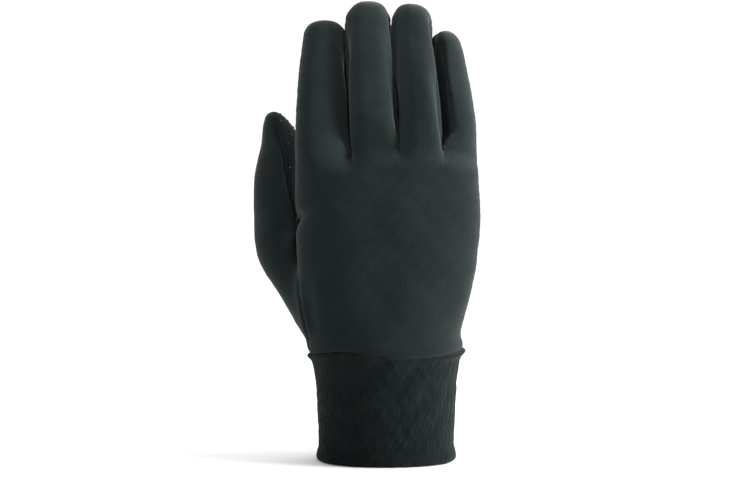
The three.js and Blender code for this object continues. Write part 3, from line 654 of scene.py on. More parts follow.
def add_finger(skin, index, own_at_fork, fork):
    rounding = finger_rounding(index)
    length = FINGERS[index].length * FINGER_LENGTH
    body = levels_between(0, 1 - rounding, RING_STEP / length, True)
    levels = np.concatenate([body, tip_levels(1 - rounding, FINGER_TIP_RINGS)])
    levels[np.abs(levels - STRIP_END).argmin()] = STRIP_END
    rings = [fork]
    for t in levels[1:]:
        rings.append(settle(finger_own(index, t), own_at_fork, fork, 1 - smooth(t / FINGER_SETTLES)))
    below = levels[1:, None] <= STRIP_END + 1e-9

    def panel_of(name, columns):
        half = np.arange(columns)[None, :] < columns // 2
        if name in ("back", "front"):
            return "back_panel" if name == "back" else "palm_panel"
        if name == "left" and index == 0:
            return "palm_panel"
        neighbour, near, far = index, "back_panel", "palm_panel"
        if name == "left":
            neighbour, near, far = index - 1, far, near
        return np.where(below, strip_name(neighbour), np.where(half, near, far))

    if index == len(FINGERS) - 1:
        for ring in rings:
            ring.pop("right")
    skin.add(rings, panel_of)


def waved(points):
    """The cuff seam's wave round the wrist, as the worn cloth pulls it."""
    degrees = np.degrees(np.arctan2(points[:, 1], points[:, 0])) % TURN
    nearness = 1 - smooth(np.abs(points[:, 2] - CUFF_HEIGHT) / WAVE_FADE)
    moved = points.copy()
    moved[:, 2] += SEAM_RISE * along(SEAM_WAVE, "rise", degrees) * nearness
    return moved


def slit_nearness(points):
    """One where two fingers meet, falling to nothing a few millimetres away and below the forks."""
    height = points[:, 2] - SKIN_FLOOR - PALM_LENGTH * ROW_START
    rise = np.clip(height / TIP_ROW_RISE, 0, 1)
    lines = [bell(points[:, 0] - divider_x(line, rise), SLIT_WIDTH) for line in range(1, len(FINGERS))]
    return np.max(lines, axis=0) * smooth(height / SLIT_FADE)


def bent_slits(points):
    """Bends the fingers' meeting faces alike, so that little light passes straight between them."""
    moved = points.copy()
    bend = SLIT_BEND * np.sin(2 * np.pi * points[:, 1] / SLIT_BEND_LENGTH)
    moved[:, 0] += bend * slit_nearness(points)
    return moved


def unit(vectors):
    return vectors / np.maximum(np.linalg.norm(vectors, axis=1, keepdims=True), 1e-12)


def vertex_normals(points, quads, floor):
    a, b, c, d = (points[quads[:, k]] for k in range(4))
    across = np.cross(c - a, d - b)
    normals = np.zeros_like(points)
    for k in range(4):
        np.add.at(normals, quads[:, k], across)
    normals[floor, 2] = 0.0
    return unit(normals)


def face_edges(quads):
    """Each face's four edges in turn, as pairs of vertices."""
    return np.concatenate([quads[:, [k, (k + 1) % 4]] for k in range(4)])


def find_seams(quads, panels):
    """The edges between two panels, as pairs of vertices, and whether each lies beside a side strip."""
    ends, owner = face_edges(quads), np.tile(panels, 4)
    real = ends[:, 0] != ends[:, 1]
    ends, owner = np.sort(ends[real], axis=1), owner[real]
    order = np.lexsort((ends[:, 1], ends[:, 0]))
    ends, owner = ends[order], owner[order]
    same = (ends[:-1] == ends[1:]).all(axis=1)
    seam = same & (owner[:-1] != owner[1:])
    names = np.stack([owner[:-1][seam], owner[1:][seam]], 1)
    beside_strip = np.char.startswith(names.astype(str), "side_strip").any(axis=1)
    return ends[:-1][seam], beside_strip


# Soft bands of relief that run beside a seam or hem, `at` a distance from it, in millimetres. The
# shoulder's height is a share of its seam's depth, and the hem's roll is scaled by HEM_ROLL and
# HEM_SIDES.
BANDS = named_rows(
    "name height at width",
    ("seam_shoulder", 0.28, 2.3, 1.3),
    ("wrist_roll", 0.55, 3.4, 2.2),
    ("cuff_ridge", 0.35, 3.0, 2.0),
    ("cuff_ear", 1.5, 1.2, 1.6),
    ("hem_roll", 1.0, 2.5, 3.0),
    ("hem_neck", 0.25, 8.0, 2.5),
)

# How deep a seam pulls the cloth in, and how fast that fades, in millimetres
WRIST_TUCK = SimpleNamespace(depth=0.95, width=0.55)
CUFF_TUCK = SimpleNamespace(depth=0.85, width=0.5)
SEAM_WIDTH = 0.6
SOFT_SEAM = 0.5

# The small puckers that the stitching draws along a seam, in millimetres
PUCKER = SimpleNamespace(height=0.11, pitch=4.4, wander=19.0, width=2.6)

# How far beside a seam the cloth lies still, and how much the hem rolls all round and at its sides
STILL_WIDTH = 2.0
HEM_ROLL = 0.45
HEM_SIDES = 0.5
SIDES_POWER = 6

# Uneven cloth as sums of ripples, in millimetres
RIPPLES = named_rows(
    "cloth height wavelength seed",
    ("hand", 0.16, 24.0, SEED),
    ("hand", 0.05, 8.0, SEED + 2),
    ("cuff", 0.10, 14.0, SEED + 5),
    ("cuff", 0.07, 5.0, SEED + 6),
)
PILE = SimpleNamespace(height=0.07, wavelength=1.5, seed=SEED + 7, stretch=(1.0, 1.0, 2.0), waves=14)


def band(name, distance):
    row = next(row for row in BANDS if row.name == name)
    return row.height * bell(distance - row.at, row.width)


def ripples(points, wavelength, seed, stretch=(1.0, 1.0, 1.0), waves=9):
    """Smooth irregular ripples of about one millimetre either way, from a few crossing waves."""
    draw = np.random.default_rng(seed)
    total = np.zeros(len(points))
    for _ in range(waves):
        direction = draw.normal(size=3)
        direction /= np.linalg.norm(direction) * wavelength * draw.uniform(0.7, 1.5)
        total += np.sin(2 * np.pi * (points / stretch) @ direction + draw.uniform(0, 2 * np.pi))
    return total / math.sqrt(waves / 2)


def uneven(points, cloth):
    rows = [row for row in RIPPLES if row.cloth == cloth]
    return sum(row.height * ripples(points, row.wavelength, row.seed) for row in rows)


def fold_relief(points, normals):
    relief = np.zeros(len(points))
    for fold in FOLDS:
        start = np.array([fold.from_x * KNUCKLE_WIDTH / 2, SKIN_FLOOR + fold.from_z * PALM_LENGTH])
        end = np.array([fold.to_x * KNUCKLE_WIDTH / 2, SKIN_FLOOR + fold.to_z * PALM_LENGTH])
        run = end - start
        length = np.linalg.norm(run)
        run /= length
        offset = points[:, [0, 2]] - start
        share = offset @ run / length
        sideways = offset @ np.array([-run[1], run[0]]) - fold.bow * 4 * share * (1 - share)
        fade = smooth(share / FOLD_FADE) * smooth((1 - share) / FOLD_FADE)
        facing = smooth(normals[:, 1] * fold.side / FOLD_TURNS + FOLD_FACES)
        relief += fold.height * bell(sideways, fold.width) * fade * facing
    return relief


def nearest(points, targets):
    """Each point's distance to the nearest of the targets, and which one that is."""
    tree = KDTree(len(targets))
    for i, target in enumerate(targets):
        tree.insert(target, i)
    tree.balance()
    found = [tree.find(p) for p in points]
    return np.array([f[2] for f in found]), np.array([f[1] for f in found])


@functools.lru_cache(maxsize=1)
def hand_skin(seam_depth, fold_depth):
    """The worn skin of the hand, with its seams and folds pressed in."""
    flat, quads, panels = build_skin()
    floor = flat[:, 2] < SKIN_FLOOR + 1e-6
    points = bent_slits(waved(flat))
    normals = vertex_normals(points, quads, floor)
    seams, beside_strip = find_seams(quads, panels)
    seam_points = np.unique(seams)
    soft = np.isin(seam_points, seams[beside_strip])
    distance, which = nearest(points, points[seam_points])
    depth = seam_depth * np.where(soft[which], SOFT_SEAM, 1.0)
    groove = -depth * (np.exp(-distance / SEAM_WIDTH) - band("seam_shoulder", distance))
    wander = ripples(points, PUCKER.wander, SEED + 1)
    pucker = PUCKER.height * np.sin(2 * np.pi * points[:, 2] / PUCKER.pitch + wander)
    height = flat[:, 2] - SKIN_FLOOR
    roll = band("wrist_roll", height) - WRIST_TUCK.depth * np.exp(-height / WRIST_TUCK.width)
    free = 1 - slit_nearness(flat)
    lumps = uneven(points, "hand") * (1 - bell(distance, STILL_WIDTH))
    relief = np.where(groove < 0, groove, groove * free) + roll
    relief += free * (pucker * bell(distance, PUCKER.width) + lumps)
    relief += fold_depth * fold_relief(points, normals)
    shaped = points + normals * relief[:, None]
    shaped_normals = vertex_normals(shaped, quads, floor)
    return SimpleNamespace(points=shaped, normals=shaped_normals, quads=quads, panels=panels, seams=seams)


def panel_mesh(skin, name, wall):
    """One panel of the skin as a closed sheet: outer face, inner face and the cut edges between."""
    quads = skin.quads[skin.panels == name]
    used, local = np.unique(quads, return_inverse=True)
    quads = local.reshape(-1, 4)
    outer, normals = skin.points[used].copy(), skin.normals[used]
    ends = face_edges(quads)
    ends = ends[ends[:, 0] != ends[:, 1]]
    keys = ends[:, 0] * len(used) + ends[:, 1]
    back_keys = ends[:, 1] * len(used) + ends[:, 0]
    rim = ends[~np.isin(keys, back_keys)]
    run = outer[rim[:, 1]] - outer[rim[:, 0]]
    sideways = unit(np.cross(normals[rim[:, 0]] + normals[rim[:, 1]], run))
    pull = np.zeros_like(outer)
    for k in (0, 1):
        np.add.at(pull, rim[:, k], sideways)
    outer += unit(pull) * SEAM_PULL
    inner = outer - normals * wall
    count = len(used)
    faces = [tuple(dict.fromkeys(face)) for face in quads.tolist()]
    under = [tuple(n + count for n in reversed(face)) for face in faces]
    walls = [(b, a, a + count, b + count) for a, b in rim.tolist()]
    sharp = {tuple(sorted(edge)) for edge in rim.tolist()}
    sharp |= {(a + count, b + count) for a, b in sharp}
    return np.concatenate([outer, inner]), faces + under + walls, sharp


# The cloth of each piece before it was stretched over the hand: the sides of the piece's cut in
# metres, and the share of them that the cut fills. They are estimates, worked back from the worn
# shape's own area.
CUTS = named_rows(
    "name width length fills",
    ("back_panel", 0.1, 0.195, 0.84),
    ("palm_panel", 0.15, 0.195, 0.61),
    ("thumb_back", 0.045, 0.135, 0.7),
    ("side_strip_index_middle", 0.018, 0.085, 0.77),
    ("side_strip_middle_ring", 0.018, 0.085, 0.77),
    ("side_strip_ring_little", 0.021, 0.085, 0.79),
    ("cuff", 0.185, 0.112, 0.93),
)


def declare_cloth(node):
    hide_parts(node)


def make_piece(name, points, faces, material, sharp=()):
    mesh = bpy.data.meshes.new(name)
    mesh.from_pydata((np.asarray(points) * MM).tolist(), [], faces)
    mesh.shade_smooth()
    if sharp:
        marks = mesh.attributes.new("sharp_edge", "BOOLEAN", "EDGE")
        marks.data.foreach_set("value", [tuple(sorted(edge.vertices)) in sharp for edge in mesh.edges])
    mesh.materials.append(material)
    piece = bpy.data.objects.new(name, mesh)
    bpy.context.scene.collection.objects.link(piece)
    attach(piece, BODY)
    return piece


def cuff_mesh(sizes):
    """The cuff: a band of knit folded up inside itself at the hem, swept round the wrist's oval."""
    layer = sizes.cuff_layer / MM
    roll = layer + CUFF_SLOT / 2
    top = CUFF_HEIGHT - SEAM_GAP / 2
    fold = np.radians(np.linspace(0, TURN / 4, HEM_STEPS)[1:-1])

    def side(inset, rows, radius, upwards):
        run = [(inset, value) for value in np.linspace(radius, top, rows + 1)]
        inwards = 1 if inset < roll else -1
        corner = [
            (inset + (radius - radius * math.cos(a)) * inwards, radius - radius * math.sin(a))
            for a in fold
        ]
        return corner[::-1] + run if upwards else run[::-1] + corner

    outer = side(0.0, CUFF_ROWS, roll, True)
    slot_outer = side(layer, CUFF_SLOT_ROWS, CUFF_SLOT / 2, False)
    slot_inner = side(layer + CUFF_SLOT, CUFF_SLOT_ROWS, CUFF_SLOT / 2, True)
    inner = side(2 * roll, CUFF_INNER_ROWS, roll, False)
    profile = np.array(outer + slot_outer + slot_inner + inner)
    degrees = np.arange(CUFF_AROUND) * TURN / CUFF_AROUND
    inset, z = profile[:, 0], profile[:, 1]
    flare = CUFF_FLARE * along(CUFF_SECTIONS, "flare", np.clip(z / CUFF_HEIGHT, 0, 1))
    rows = []
    for k in range(len(profile)):
        half_x = CUFF_WIDTH / 2 + flare[k] - inset[k]
        half_y = CUFF_DEPTH / 2 + flare[k] / 2 - inset[k]
        rows.append(lifted(rounded_points(0, 0, half_x, half_y, CUFF_SQUARE, degrees), z[k]))
    grid = np.stack(rows)
    ahead = np.roll(grid, -1, axis=1) - np.roll(grid, 1, axis=1)
    outwards = np.stack([ahead[..., 1], -ahead[..., 0], np.zeros(ahead.shape[:2])], 2)
    outwards /= np.linalg.norm(outwards, axis=2, keepdims=True)
    points = grid.reshape(-1, 3)
    below_top, above_hem = top - points[:, 2], points[:, 2]
    sides = np.abs(np.cos(np.arctan2(points[:, 1], points[:, 0]))) ** SIDES_POWER
    relief = band("cuff_ridge", below_top) - CUFF_TUCK.depth * np.exp(-below_top / CUFF_TUCK.width)
    relief += sides * band("cuff_ear", below_top)
    relief += (HEM_ROLL + HEM_SIDES * sides) * band("hem_roll", above_hem) - band("hem_neck", above_hem)
    relief += uneven(points, "cuff")
    pile = PILE.height * ripples(points, PILE.wavelength, PILE.seed, PILE.stretch, PILE.waves)
    on_outside = np.repeat(np.arange(len(profile)) < len(outer), CUFF_AROUND)
    relief += np.where(on_outside, pile, 0.0)
    points = waved(points + outwards.reshape(-1, 3) * relief[:, None])
    i = np.arange(len(points)).reshape(len(profile), CUFF_AROUND)
    ahead, up = np.roll(i, -1, axis=1), np.roll(i, -1, axis=0)
    faces = np.stack([i, ahead, np.roll(ahead, -1, axis=0), up], 2).reshape(-1, 4)
    return points, faces.tolist()


def tube(path, radii, sides=6):
    """A closed tube through a short path, as points and faces."""
    run = unit(np.gradient(path, axis=0))
    across = unit(np.cross(run, [0.0, 0.0, 1.0]))
    over = np.cross(across, run)
    angle = np.arange(sides) * 2 * np.pi / sides
    rings = (
        path[:, None]
        + radii[:, None, None] * np.cos(angle)[None, :, None] * across[:, None]
        + radii[:, None, None] * np.sin(angle)[None, :, None] * over[:, None]
    )
    faces = [tuple(range(sides))[::-1], tuple(range((len(path) - 1) * sides, len(path) * sides))]
    for row in range(len(path) - 1):
        for k in range(sides):
            a, b = row * sides + k, row * sides + (k + 1) % sides
            faces.append((a, b, b + sides, a + sides))
    return rings.reshape(-1, 3), faces


def gathered(parts):
    """Several small meshes as one."""
    points, faces, count = [], [], 0
    for part_points, part_faces in parts:
        points.append(part_points)
        faces += [tuple(n + count for n in face) for face in part_faces]
        count += len(part_points)
    return np.concatenate(points), faces


# A stitch in millimetres, how far under the cuff seam its row runs, and the thread along one stitch:
# how far it stands off the cloth, and its thickness as a share of the thread's.
STITCH = SimpleNamespace(length=1.7, pitch=3.2, radius=0.18, drop=3.2, first=0.2)
THREAD_PATH = table(
    "rise thickness",
    (-0.3, 0.6),
    (0.05, 1.0),
    (0.12, 1.0),
    (0.05, 1.0),
    (-0.3, 0.6),
)


def stitch_row(loop):
    """Stitches along a closed loop of the cloth's surface, each sunk into the cloth at both ends."""
    ring = np.vstack([loop, loop[:1]])
    reach = np.concatenate([[0.0], np.cumsum(np.linalg.norm(np.diff(ring, axis=0), axis=1))])
    count = round(reach[-1] / STITCH.pitch)
    steps = np.linspace(0, STITCH.length, len(THREAD_PATH["rise"]))
    parts = []
    for k in range(count):
        at = (k + STITCH.first) * reach[-1] / count + steps
        path = np.stack([np.interp(at % reach[-1], reach, ring[:, axis]) for axis in range(3)], 1)
        path += unit(path * [1.0, 1.0, 0.0]) * THREAD_PATH["rise"][:, None]
        parts.append(tube(path, STITCH.radius * THREAD_PATH["thickness"]))
    return gathered(parts)


# Where the grip dots may stand. Facings are shares of a normal, and the rest is in millimetres, apart
# from the distance between rows, a share of the distance between dots.
DOTS = SimpleNamespace(
    start=8.0, palm_facing=0.45, thumb_facing=0.2, off_seam=2.6, off_place=0.9, row_share=0.866
)

# A dot's rings above the cloth, as shares of its radius and height, and how deep its rim is sunk
DOT_RINGS = named_rows("out up", (0.85, 0.55), (0.4, 1.0))
DOT_SUNK = 0.25
DOT_RISE = 0.6
DOT_SIDES = 8


def dot_places(skin, pitch):
    """Where the grip dots stand: staggered rows over the palm's side of the hand and the thumb."""
    on_palm = np.unique(skin.quads[skin.panels == "palm_panel"])
    points, normals = skin.points[on_palm], skin.normals[on_palm]
    near_seam, _ = nearest(points, skin.points[np.unique(skin.seams)])
    inner_thumb = (points[:, 0] < -KNUCKLE_WIDTH / 2) & (normals[:, 0] > DOTS.thumb_facing)
    good = ((normals[:, 1] > DOTS.palm_facing) | inner_thumb) & (near_seam > DOTS.off_seam)
    good &= points[:, 2] > SKIN_FLOOR + DOTS.start
    points, normals = points[good], normals[good]
    facing = normals[:, 1] > DOTS.palm_facing
    row_pitch = pitch * DOTS.row_share
    rows = np.round(points[:, 2] / row_pitch).astype(int)
    sideways = np.where(facing, points[:, 0], points[:, 1])
    columns = np.round(sideways / pitch - 0.5 * (rows % 2)).astype(int)
    off_row = points[:, 2] - rows * row_pitch
    off_column = sideways - (columns + 0.5 * (rows % 2)) * pitch
    miss = np.hypot(off_row, off_column)
    order = np.lexsort((miss, columns, rows, facing))
    keys = np.stack([facing, rows, columns], 1)[order]
    first = np.concatenate([[True], (keys[1:] != keys[:-1]).any(axis=1)])
    chosen = order[first]
    chosen = chosen[miss[chosen] < DOTS.off_place]
    return points[chosen], normals[chosen]


def grip_dots(skin, radius, pitch):
    """Low domes printed on the cloth, their rims sunk into it."""
    angle = np.arange(DOT_SIDES)[:, None] * 2 * np.pi / DOT_SIDES
    faces = [tuple(range(DOT_SIDES))[::-1], tuple(range(2 * DOT_SIDES, 3 * DOT_SIDES))]
    for row in (0, DOT_SIDES):
        for k in range(DOT_SIDES):
            a, b = row + k, row + (k + 1) % DOT_SIDES
            faces.append((a, b, b + DOT_SIDES, a + DOT_SIDES))
    parts = []
    for place, normal in zip(*dot_places(skin, pitch)):
        across = unit(np.cross(normal, [[1.0, 0.0, 0.1]]))[0]
        circle = (np.cos(angle) * across + np.sin(angle) * np.cross(normal, across)) * radius
        up = normal * radius * DOT_RISE
        rings = [place + circle - normal * DOT_SUNK]
        rings += [place + circle * ring.out + up * ring.up for ring in DOT_RINGS]
        parts.append((np.concatenate(rings), faces))
    return gathered(parts)


def linear(code):
    """A hex colour of the screen as the linear colour that a shader takes."""
    parts = [int(code[k : k + 2], 16) / 255 for k in (1, 3, 5)]
    return [c / 12.92 if c <= 0.04045 else ((c + 0.055) / 1.055) ** 2.4 for c in parts] + [1.0]


def feed(tree, node, inputs):
    """Gives a node's inputs their values, or links them from sockets."""
    for name, value in inputs.items():
        if isinstance(value, bpy.types.NodeSocket):
            tree.links.new(value, node.inputs[name])
        else:
            node.inputs[name].default_value = value


def add_node(tree, kind, inputs, **settings):
    node = tree.nodes.new(kind)
    for name, value in settings.items():
        setattr(node, name, value)
    feed(tree, node, inputs)
    return node


# The materials: each one's colour, how it takes the light, and its bump, by the noise that it rises
# with, its strength and its depth in millimetres. `wales` is how closely a knit's wales run.
# - Stretch fleece with a brushed face: a soft nap that lightens where it's seen edge-on.
# - The palm's jersey, sheared smooth: fine wales that run up the hand, and little nap.
# - The cuff's knit, with a short looped pile: painted highlight on upright flecks at the loops' tops, and
#   painted shade between the loops.
# - Spun thread, a little paler and shinier than the knit, so that a stitch shows as a speck.
# - Silicone printed through a screen: low glossy beads, which catch a small highlight each.
# - Matt board under the liner: no highlight.
SURFACES = named_rows(
    "name colour roughness specular sheen sheen_roughness noise strength depth wales",
    ("brushed_stretch_fleece", "cloth", 0.92, 0.03, 0.12, 0.5, "nap", 0.5, 0.35, None),
    ("sheared_stretch_jersey", "palm", 0.85, 0.08, 0.04, 0.4, "grain", 0.45, 0.25, 0.26),
    ("looped_pile_knit", "cuff", 0.95, 0.03, 0.08, 0.5, "loops", 0.55, 0.4, None),
    ("spun_polyester_thread", "thread", 0.75, 0.15, 0.0, 0.5, None, 0.0, 0.0, None),
    ("screen_printed_silicone", "silicone", 0.45, 0.25, 0.0, 0.5, None, 0.0, 0.0, None),
    ("matt_studio_board", "floor", 1.0, 0.0, 0.0, 0.5, None, 0.0, 0.0, None),
)

# The noises in each cloth: how many lumps there are to a millimetre, and how much they're drawn out
# along the hand. Real fibres and loops are too fine to show in the render, so the nap is drawn at
# 0.9 mm, the wales 1.2 mm apart and the cuff's loops 0.8 mm wide and 2 mm tall.
NOISES = named_rows(
    "surface name scale detail roughness tall",
    ("brushed_stretch_fleece", "nap", 1.1, 4.0, 0.65, 2.2),
    ("brushed_stretch_fleece", "patches", 0.07, 3.0, 0.5, 1.0),
    ("brushed_stretch_fleece", "pills", 0.45, 1.0, 0.5, 1.6),
    ("sheared_stretch_jersey", "grain", 1.2, 4.0, 0.5, 1.0),
    ("looped_pile_knit", "loops", 1.3, 4.0, 0.7, 2.4),
    ("looped_pile_knit", "patches", 0.12, 3.0, 0.5, 1.0),
)

# The colours laid over each cloth's own in turn, from none where the noise is `low` to all at `high`
LAYERS = named_rows(
    "surface noise low high colour",
    ("brushed_stretch_fleece", "patches", 0.35, 0.65, "cloth_light"),
    ("brushed_stretch_fleece", "nap", 0.35, 0.72, "cloth_light"),
    ("brushed_stretch_fleece", "pills", 0.72, 0.8, "lint"),
    ("sheared_stretch_jersey", "grain", 0.3, 0.75, "cloth"),
    ("looped_pile_knit", "patches", 0.35, 0.7, "cloth"),
    # Painted highlight: a paler colour on the loops' tops, where their noise is high
    ("looped_pile_knit", "loops", 0.6, 0.74, "fleck"),
    # Painted shade: the palm's darker colour in the low places between the loops, where their noise is low
    ("looped_pile_knit", "loops", 0.42, 0.3, "palm"),
)


def rows_of(rows, surface):
    return [row for row in rows if row.surface == surface]


def make_material(name, colours):
    """A material by its rows of SURFACES, NOISES and LAYERS."""
    surface = next(row for row in SURFACES if row.name == name)
    material = bpy.data.materials.new(name)
    material.use_nodes = True
    tree = material.node_tree
    tree.nodes.clear()
    place = add_node(tree, "ShaderNodeTexCoord", {}).outputs["Object"]
    noises = {}
    for row in rows_of(NOISES, name):
        stretch = {"Vector": place, "Scale": [1 / MM, 1 / MM, 1 / (MM * row.tall)]}
        spot = add_node(tree, "ShaderNodeMapping", stretch).outputs["Vector"]
        lumps = {"Vector": spot, "Scale": row.scale, "Detail": row.detail, "Roughness": row.roughness}
        noises[row.name] = add_node(tree, "ShaderNodeTexNoise", lumps).outputs["Fac"]
    base = linear(getattr(colours, surface.colour))
    for row in rows_of(LAYERS, name):
        limits = {"Value": noises[row.noise], "From Min": row.low, "From Max": row.high}
        share = add_node(tree, "ShaderNodeMapRange", limits, clamp=True).outputs["Result"]
        parts = {0: share, 6: base, 7: linear(getattr(colours, row.colour))}
        base = add_node(tree, "ShaderNodeMix", parts, data_type="RGBA").outputs[2]
    inputs = {
        "Base Color": base,
        "Roughness": surface.roughness,
        "Specular IOR Level": surface.specular,
        "Sheen Weight": surface.sheen,
        "Sheen Roughness": surface.sheen_roughness,
        "Sheen Tint": linear(colours.sheen),
    }
    if surface.noise:
        height = noises[surface.noise]
        if surface.wales:
            height = add_wales(tree, place, surface.wales, height)
        relief = {"Height": height, "Strength": surface.strength, "Distance": surface.depth * MM}
        inputs["Normal"] = add_node(tree, "ShaderNodeBump", relief).outputs["Normal"]
    shader = add_node(tree, "ShaderNodeBsdfPrincipled", inputs)
    add_node(tree, "ShaderNodeOutputMaterial", {"Surface": shader.outputs["BSDF"]})
    return material


def add_wales(tree, place, closeness, height):
    """The height with a knit's upright wales added, each a little bent."""
    spot = add_node(tree, "ShaderNodeMapping", {"Vector": place, "Scale": [1 / MM] * 3})
    inputs = {
        "Vector": spot.outputs["Vector"],
        "Scale": closeness,
        "Distortion": 1.2,
        "Detail": 2.0,
        "Detail Scale": 2.0,
    }
    wales = add_node(tree, "ShaderNodeTexWave", inputs, bands_direction="X").outputs["Fac"]
    return add_node(tree, "ShaderNodeMath", {0: wales, 1: height}, operation="ADD").outputs["Value"]


def length_property(name, description, default, low, high):
    """A length that the sidebar shows, given in millimetres."""
    return bpy.props.FloatProperty(
        name=name,
        description=description,
        default=default * MM,
        min=low * MM,
        max=high * MM,
        unit="LENGTH",
        precision=4,
    )


def colour_property(name, description, default):
    return bpy.props.StringProperty(name=name, description=description, default=default)


class LinerSizes(bpy.types.PropertyGroup):
    knit_wall: length_property("Knit thickness", "Thickness of the stretch knit", 1.5, 0.5, 3.0)
    cuff_layer: length_property("Cuff layer", "Thickness of each of the cuff's two layers", 1.2, 0.5, 2.0)
    seam_depth: length_property("Seam depth", "How deep the panels turn in at a seam", 0.8, 0.0, 1.5)
    dot_radius: length_property("Dot radius", "Radius of a grip dot", 0.7, 0.3, 1.5)
    dot_pitch: length_property("Dot spacing", "Distance from one grip dot to the next", 4.6, 2.5, 12.0)
    fold_depth: bpy.props.FloatProperty(
        name="Folds",
        description="How strong the worn cloth's soft folds are",
        default=1.0,
        min=0.0,
        max=2.0,
        subtype="FACTOR",
    )


class LinerColours(bpy.types.PropertyGroup):
    cloth: colour_property("Cloth", "Brushed cloth in shade", "#111717")
    cloth_light: colour_property("Nap", "The nap's lighter tips", "#141B1B")
    lint: colour_property("Lint", "Small pills on the nap", "#182020")
    palm: colour_property("Palm", "Smooth knit of the palm", "#0A1010")
    cuff: colour_property("Cuff", "The cuff's looped knit", "#0C1212")
    # Painted highlight on the cuff's loops
    fleck: colour_property("Fleck", "Loops that catch the light", "#1F2727")
    sheen: colour_property("Sheen", "The nap seen edge-on", "#F4F8F7")
    thread: colour_property("Thread", "The sewing thread", "#141A1A")
    silicone: colour_property("Silicone", "The printed dots", "#151A1A")
    floor: colour_property("Floor", "The studio floor", "#F7F7F7")


class LINER_OT_hand_panels(bpy.types.Operator):
    """Makes the six cloth panels of the hand over their solids"""

    bl_idname = "liner.hand_panels"
    bl_label = "Hand panels"

    def execute(self, context):
        sizes, colours = context.scene.liner_sizes, context.scene.liner_colours
        skin = hand_skin(sizes.seam_depth / MM, sizes.fold_depth)
        brushed = make_material("brushed_stretch_fleece", colours)
        for name in sorted(set(skin.panels)):
            is_palm = name == "palm_panel" or name.startswith("side_strip")
            points, faces, sharp = panel_mesh(skin, name, sizes.knit_wall / MM)
            material = make_material("sheared_stretch_jersey", colours) if is_palm else brushed
            piece = make_piece(f"cloth_{name}", points, faces, material, sharp)
            declare_cloth(str(name))
        return {"FINISHED"}


class LINER_OT_cuff(bpy.types.Operator):
    """Makes the folded cuff over its solid"""

    bl_idname = "liner.cuff"
    bl_label = "Cuff"

    def execute(self, context):
        points, faces = cuff_mesh(context.scene.liner_sizes)
        material = make_material("looped_pile_knit", context.scene.liner_colours)
        piece = make_piece("cloth_cuff", points, faces, material)
        declare_cloth("cuff")
        return {"FINISHED"}


class LINER_OT_stitches(bpy.types.Operator):
    """Makes the row of stitches under the cuff seam"""

    bl_idname = "liner.stitches"
    bl_label = "Cuff stitches"

    def execute(self, context):
        points, _ = cuff_mesh(context.scene.liner_sizes)
        rings = points[: (CUFF_ROWS + 1) * CUFF_AROUND].reshape(-1, CUFF_AROUND, 3)
        row = np.abs(rings[:, :, 2].mean(axis=1) - CUFF_HEIGHT + STITCH.drop).argmin()
        stitches, faces = stitch_row(rings[row])
        material = make_material("spun_polyester_thread", context.scene.liner_colours)
        make_piece("stitch_row_cuff", stitches, faces, material)
        return {"FINISHED"}


class LINER_OT_grip_dots(bpy.types.Operator):
    """Makes the printed grip dots on the palm, the fingers and the thumb's inner side"""

    bl_idname = "liner.grip_dots"
    bl_label = "Grip dots"

    def execute(self, context):
        sizes, colours = context.scene.liner_sizes, context.scene.liner_colours
        skin = hand_skin(sizes.seam_depth / MM, sizes.fold_depth)
        points, faces = grip_dots(skin, sizes.dot_radius / MM, sizes.dot_pitch / MM)
        material = make_material("screen_printed_silicone", colours)
        make_piece("grip_dots", points, faces, material)
        return {"FINISHED"}


# The tent's brightness along each of three directions, from `dim` at `low` to `bright` at `high`
TENT = named_rows(
    "direction low high dim bright",
    (0, -0.75, -0.28, 0.65, 1.0),
    (0, 0.25, 0.85, 1.0, 2.0),
    (1, -0.7, 0.3, 0.04, 1.03),
    (2, 0.25, 0.95, 1.0, 2.0),
)

# The lamps in metres, degrees and watts
LAMPS = named_rows(
    "name place aim size spread watts",
    ("key_right", (1.0, -0.13, 0.3), (0.0, 0.0, 0.17), (0.5, 0.4), 30.0, 3.1),
    ("fill_left", (-0.8, -0.5, 0.45), (-0.07, 0.0, 0.2), (0.3, 0.3), 11.0, 0.2),
    ("top_front", (0.05, -0.27, 0.53), (0.0, 0.0, 0.24), (0.1, 0.1), 22.0, 0.05),
)


def light_tent(tree):
    """A white tent round the object, brighter above and on the right than on the left and in front."""
    place = add_node(tree, "ShaderNodeTexCoord", {}).outputs["Generated"]
    part = add_node(tree, "ShaderNodeSeparateXYZ", {"Vector": place})
    strength = 1.0
    for row in TENT:
        inputs = {
            "Value": part.outputs[row.direction],
            "From Min": row.low,
            "From Max": row.high,
            "To Min": row.dim,
            "To Max": row.bright,
        }
        side = add_node(tree, "ShaderNodeMapRange", inputs, interpolation_type="SMOOTHSTEP")
        factors = {0: side.outputs["Result"], 1: strength}
        strength = add_node(tree, "ShaderNodeMath", factors, operation="MULTIPLY").outputs["Value"]
    feed(tree, tree.nodes["Background"], {"Strength": strength, "Color": (1, 1, 1, 1)})


def turned_to(thing, place, aim):
    thing.location = place
    thing.rotation_euler = (Vector(aim) - Vector(place)).to_track_quat("-Z", "Y").to_euler()


def add_lamp(row):
    light = bpy.data.lights.new(row.name, "AREA")
    light.spread = math.radians(row.spread)
    light.shape = "RECTANGLE"
    light.size, light.size_y = row.size
    light.energy = row.watts
    lamp = bpy.data.objects.new(row.name, light)
    bpy.context.scene.collection.objects.link(lamp)
    turned_to(lamp, row.place, row.aim)


def add_floor(colours):
    mesh = bpy.data.meshes.new("studio_floor")
    reach = 6.0
    corners = [(-reach, -reach, 0), (reach, -reach, 0), (reach, reach, 0), (-reach, reach, 0)]
    mesh.from_pydata(corners, [], [(0, 1, 2, 3)])
    mesh.materials.append(make_material("matt_studio_board", colours))
    floor = bpy.data.objects.new("studio_floor", mesh)
    bpy.context.scene.collection.objects.link(floor)


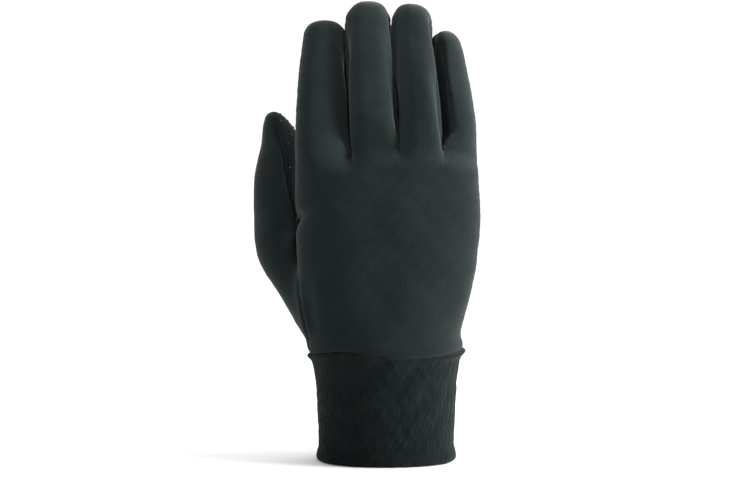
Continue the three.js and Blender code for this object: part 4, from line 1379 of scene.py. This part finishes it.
def add_camera():
    camera = bpy.data.cameras.new("camera")
    eye, aim = Vector((-0.0113, -0.850, 0.190)), Vector((-0.0113, 0.0, 0.117))
    pixels_wide, pixels_per_metre = 730, 1900
    camera.sensor_width = 36.0
    camera.lens = camera.sensor_width * pixels_per_metre * (aim - eye).length / pixels_wide
    camera.clip_start = 0.01
    camera.clip_end = 50.0
    holder = bpy.data.objects.new("camera", camera)
    bpy.context.scene.collection.objects.link(holder)
    turned_to(holder, eye, aim)
    bpy.context.scene.camera = holder


class LINER_OT_stage(bpy.types.Operator):
    """Sets the pale floor, the soft studio light and the camera"""

    bl_idname = "liner.stage"
    bl_label = "Studio"

    def execute(self, context):
        scene = context.scene
        scene.view_settings.view_transform = "Standard"
        add_floor(scene.liner_colours)
        world = bpy.data.worlds.new("studio_tent")
        scene.world = world
        world.use_nodes = True
        light_tent(world.node_tree)
        for row in LAMPS:
            add_lamp(row)
        add_camera()
        return {"FINISHED"}


class LINER_PT_sidebar(bpy.types.Panel):
    bl_label = "Glove Liner"
    bl_idname = "LINER_PT_sidebar"
    bl_space_type = "VIEW_3D"
    bl_region_type = "UI"
    bl_category = "Glove Liner"

    def draw(self, context):
        for group in (context.scene.liner_sizes, context.scene.liner_colours):
            for name in group.__annotations__:
                self.layout.prop(group, name)
        for operator in OPERATORS:
            self.layout.operator(operator.bl_idname)


OPERATORS = (
    LINER_OT_stage,
    LINER_OT_hand_panels,
    LINER_OT_cuff,
    LINER_OT_stitches,
    LINER_OT_grip_dots,
)
CLASSES = (LinerSizes, LinerColours, *OPERATORS, LINER_PT_sidebar)


def register():
    for cls in CLASSES:
        bpy.utils.register_class(cls)
    bpy.types.Scene.liner_sizes = bpy.props.PointerProperty(type=LinerSizes)
    bpy.types.Scene.liner_colours = bpy.props.PointerProperty(type=LinerColours)


def unregister():
    del bpy.types.Scene.liner_colours
    del bpy.types.Scene.liner_sizes
    for cls in reversed(CLASSES):
        bpy.utils.unregister_class(cls)


def main():
    register()
    for operator in OPERATORS:
        group, name = operator.bl_idname.split(".")
        getattr(getattr(bpy.ops, group), name)()


if __name__ == "__main__":
    main()
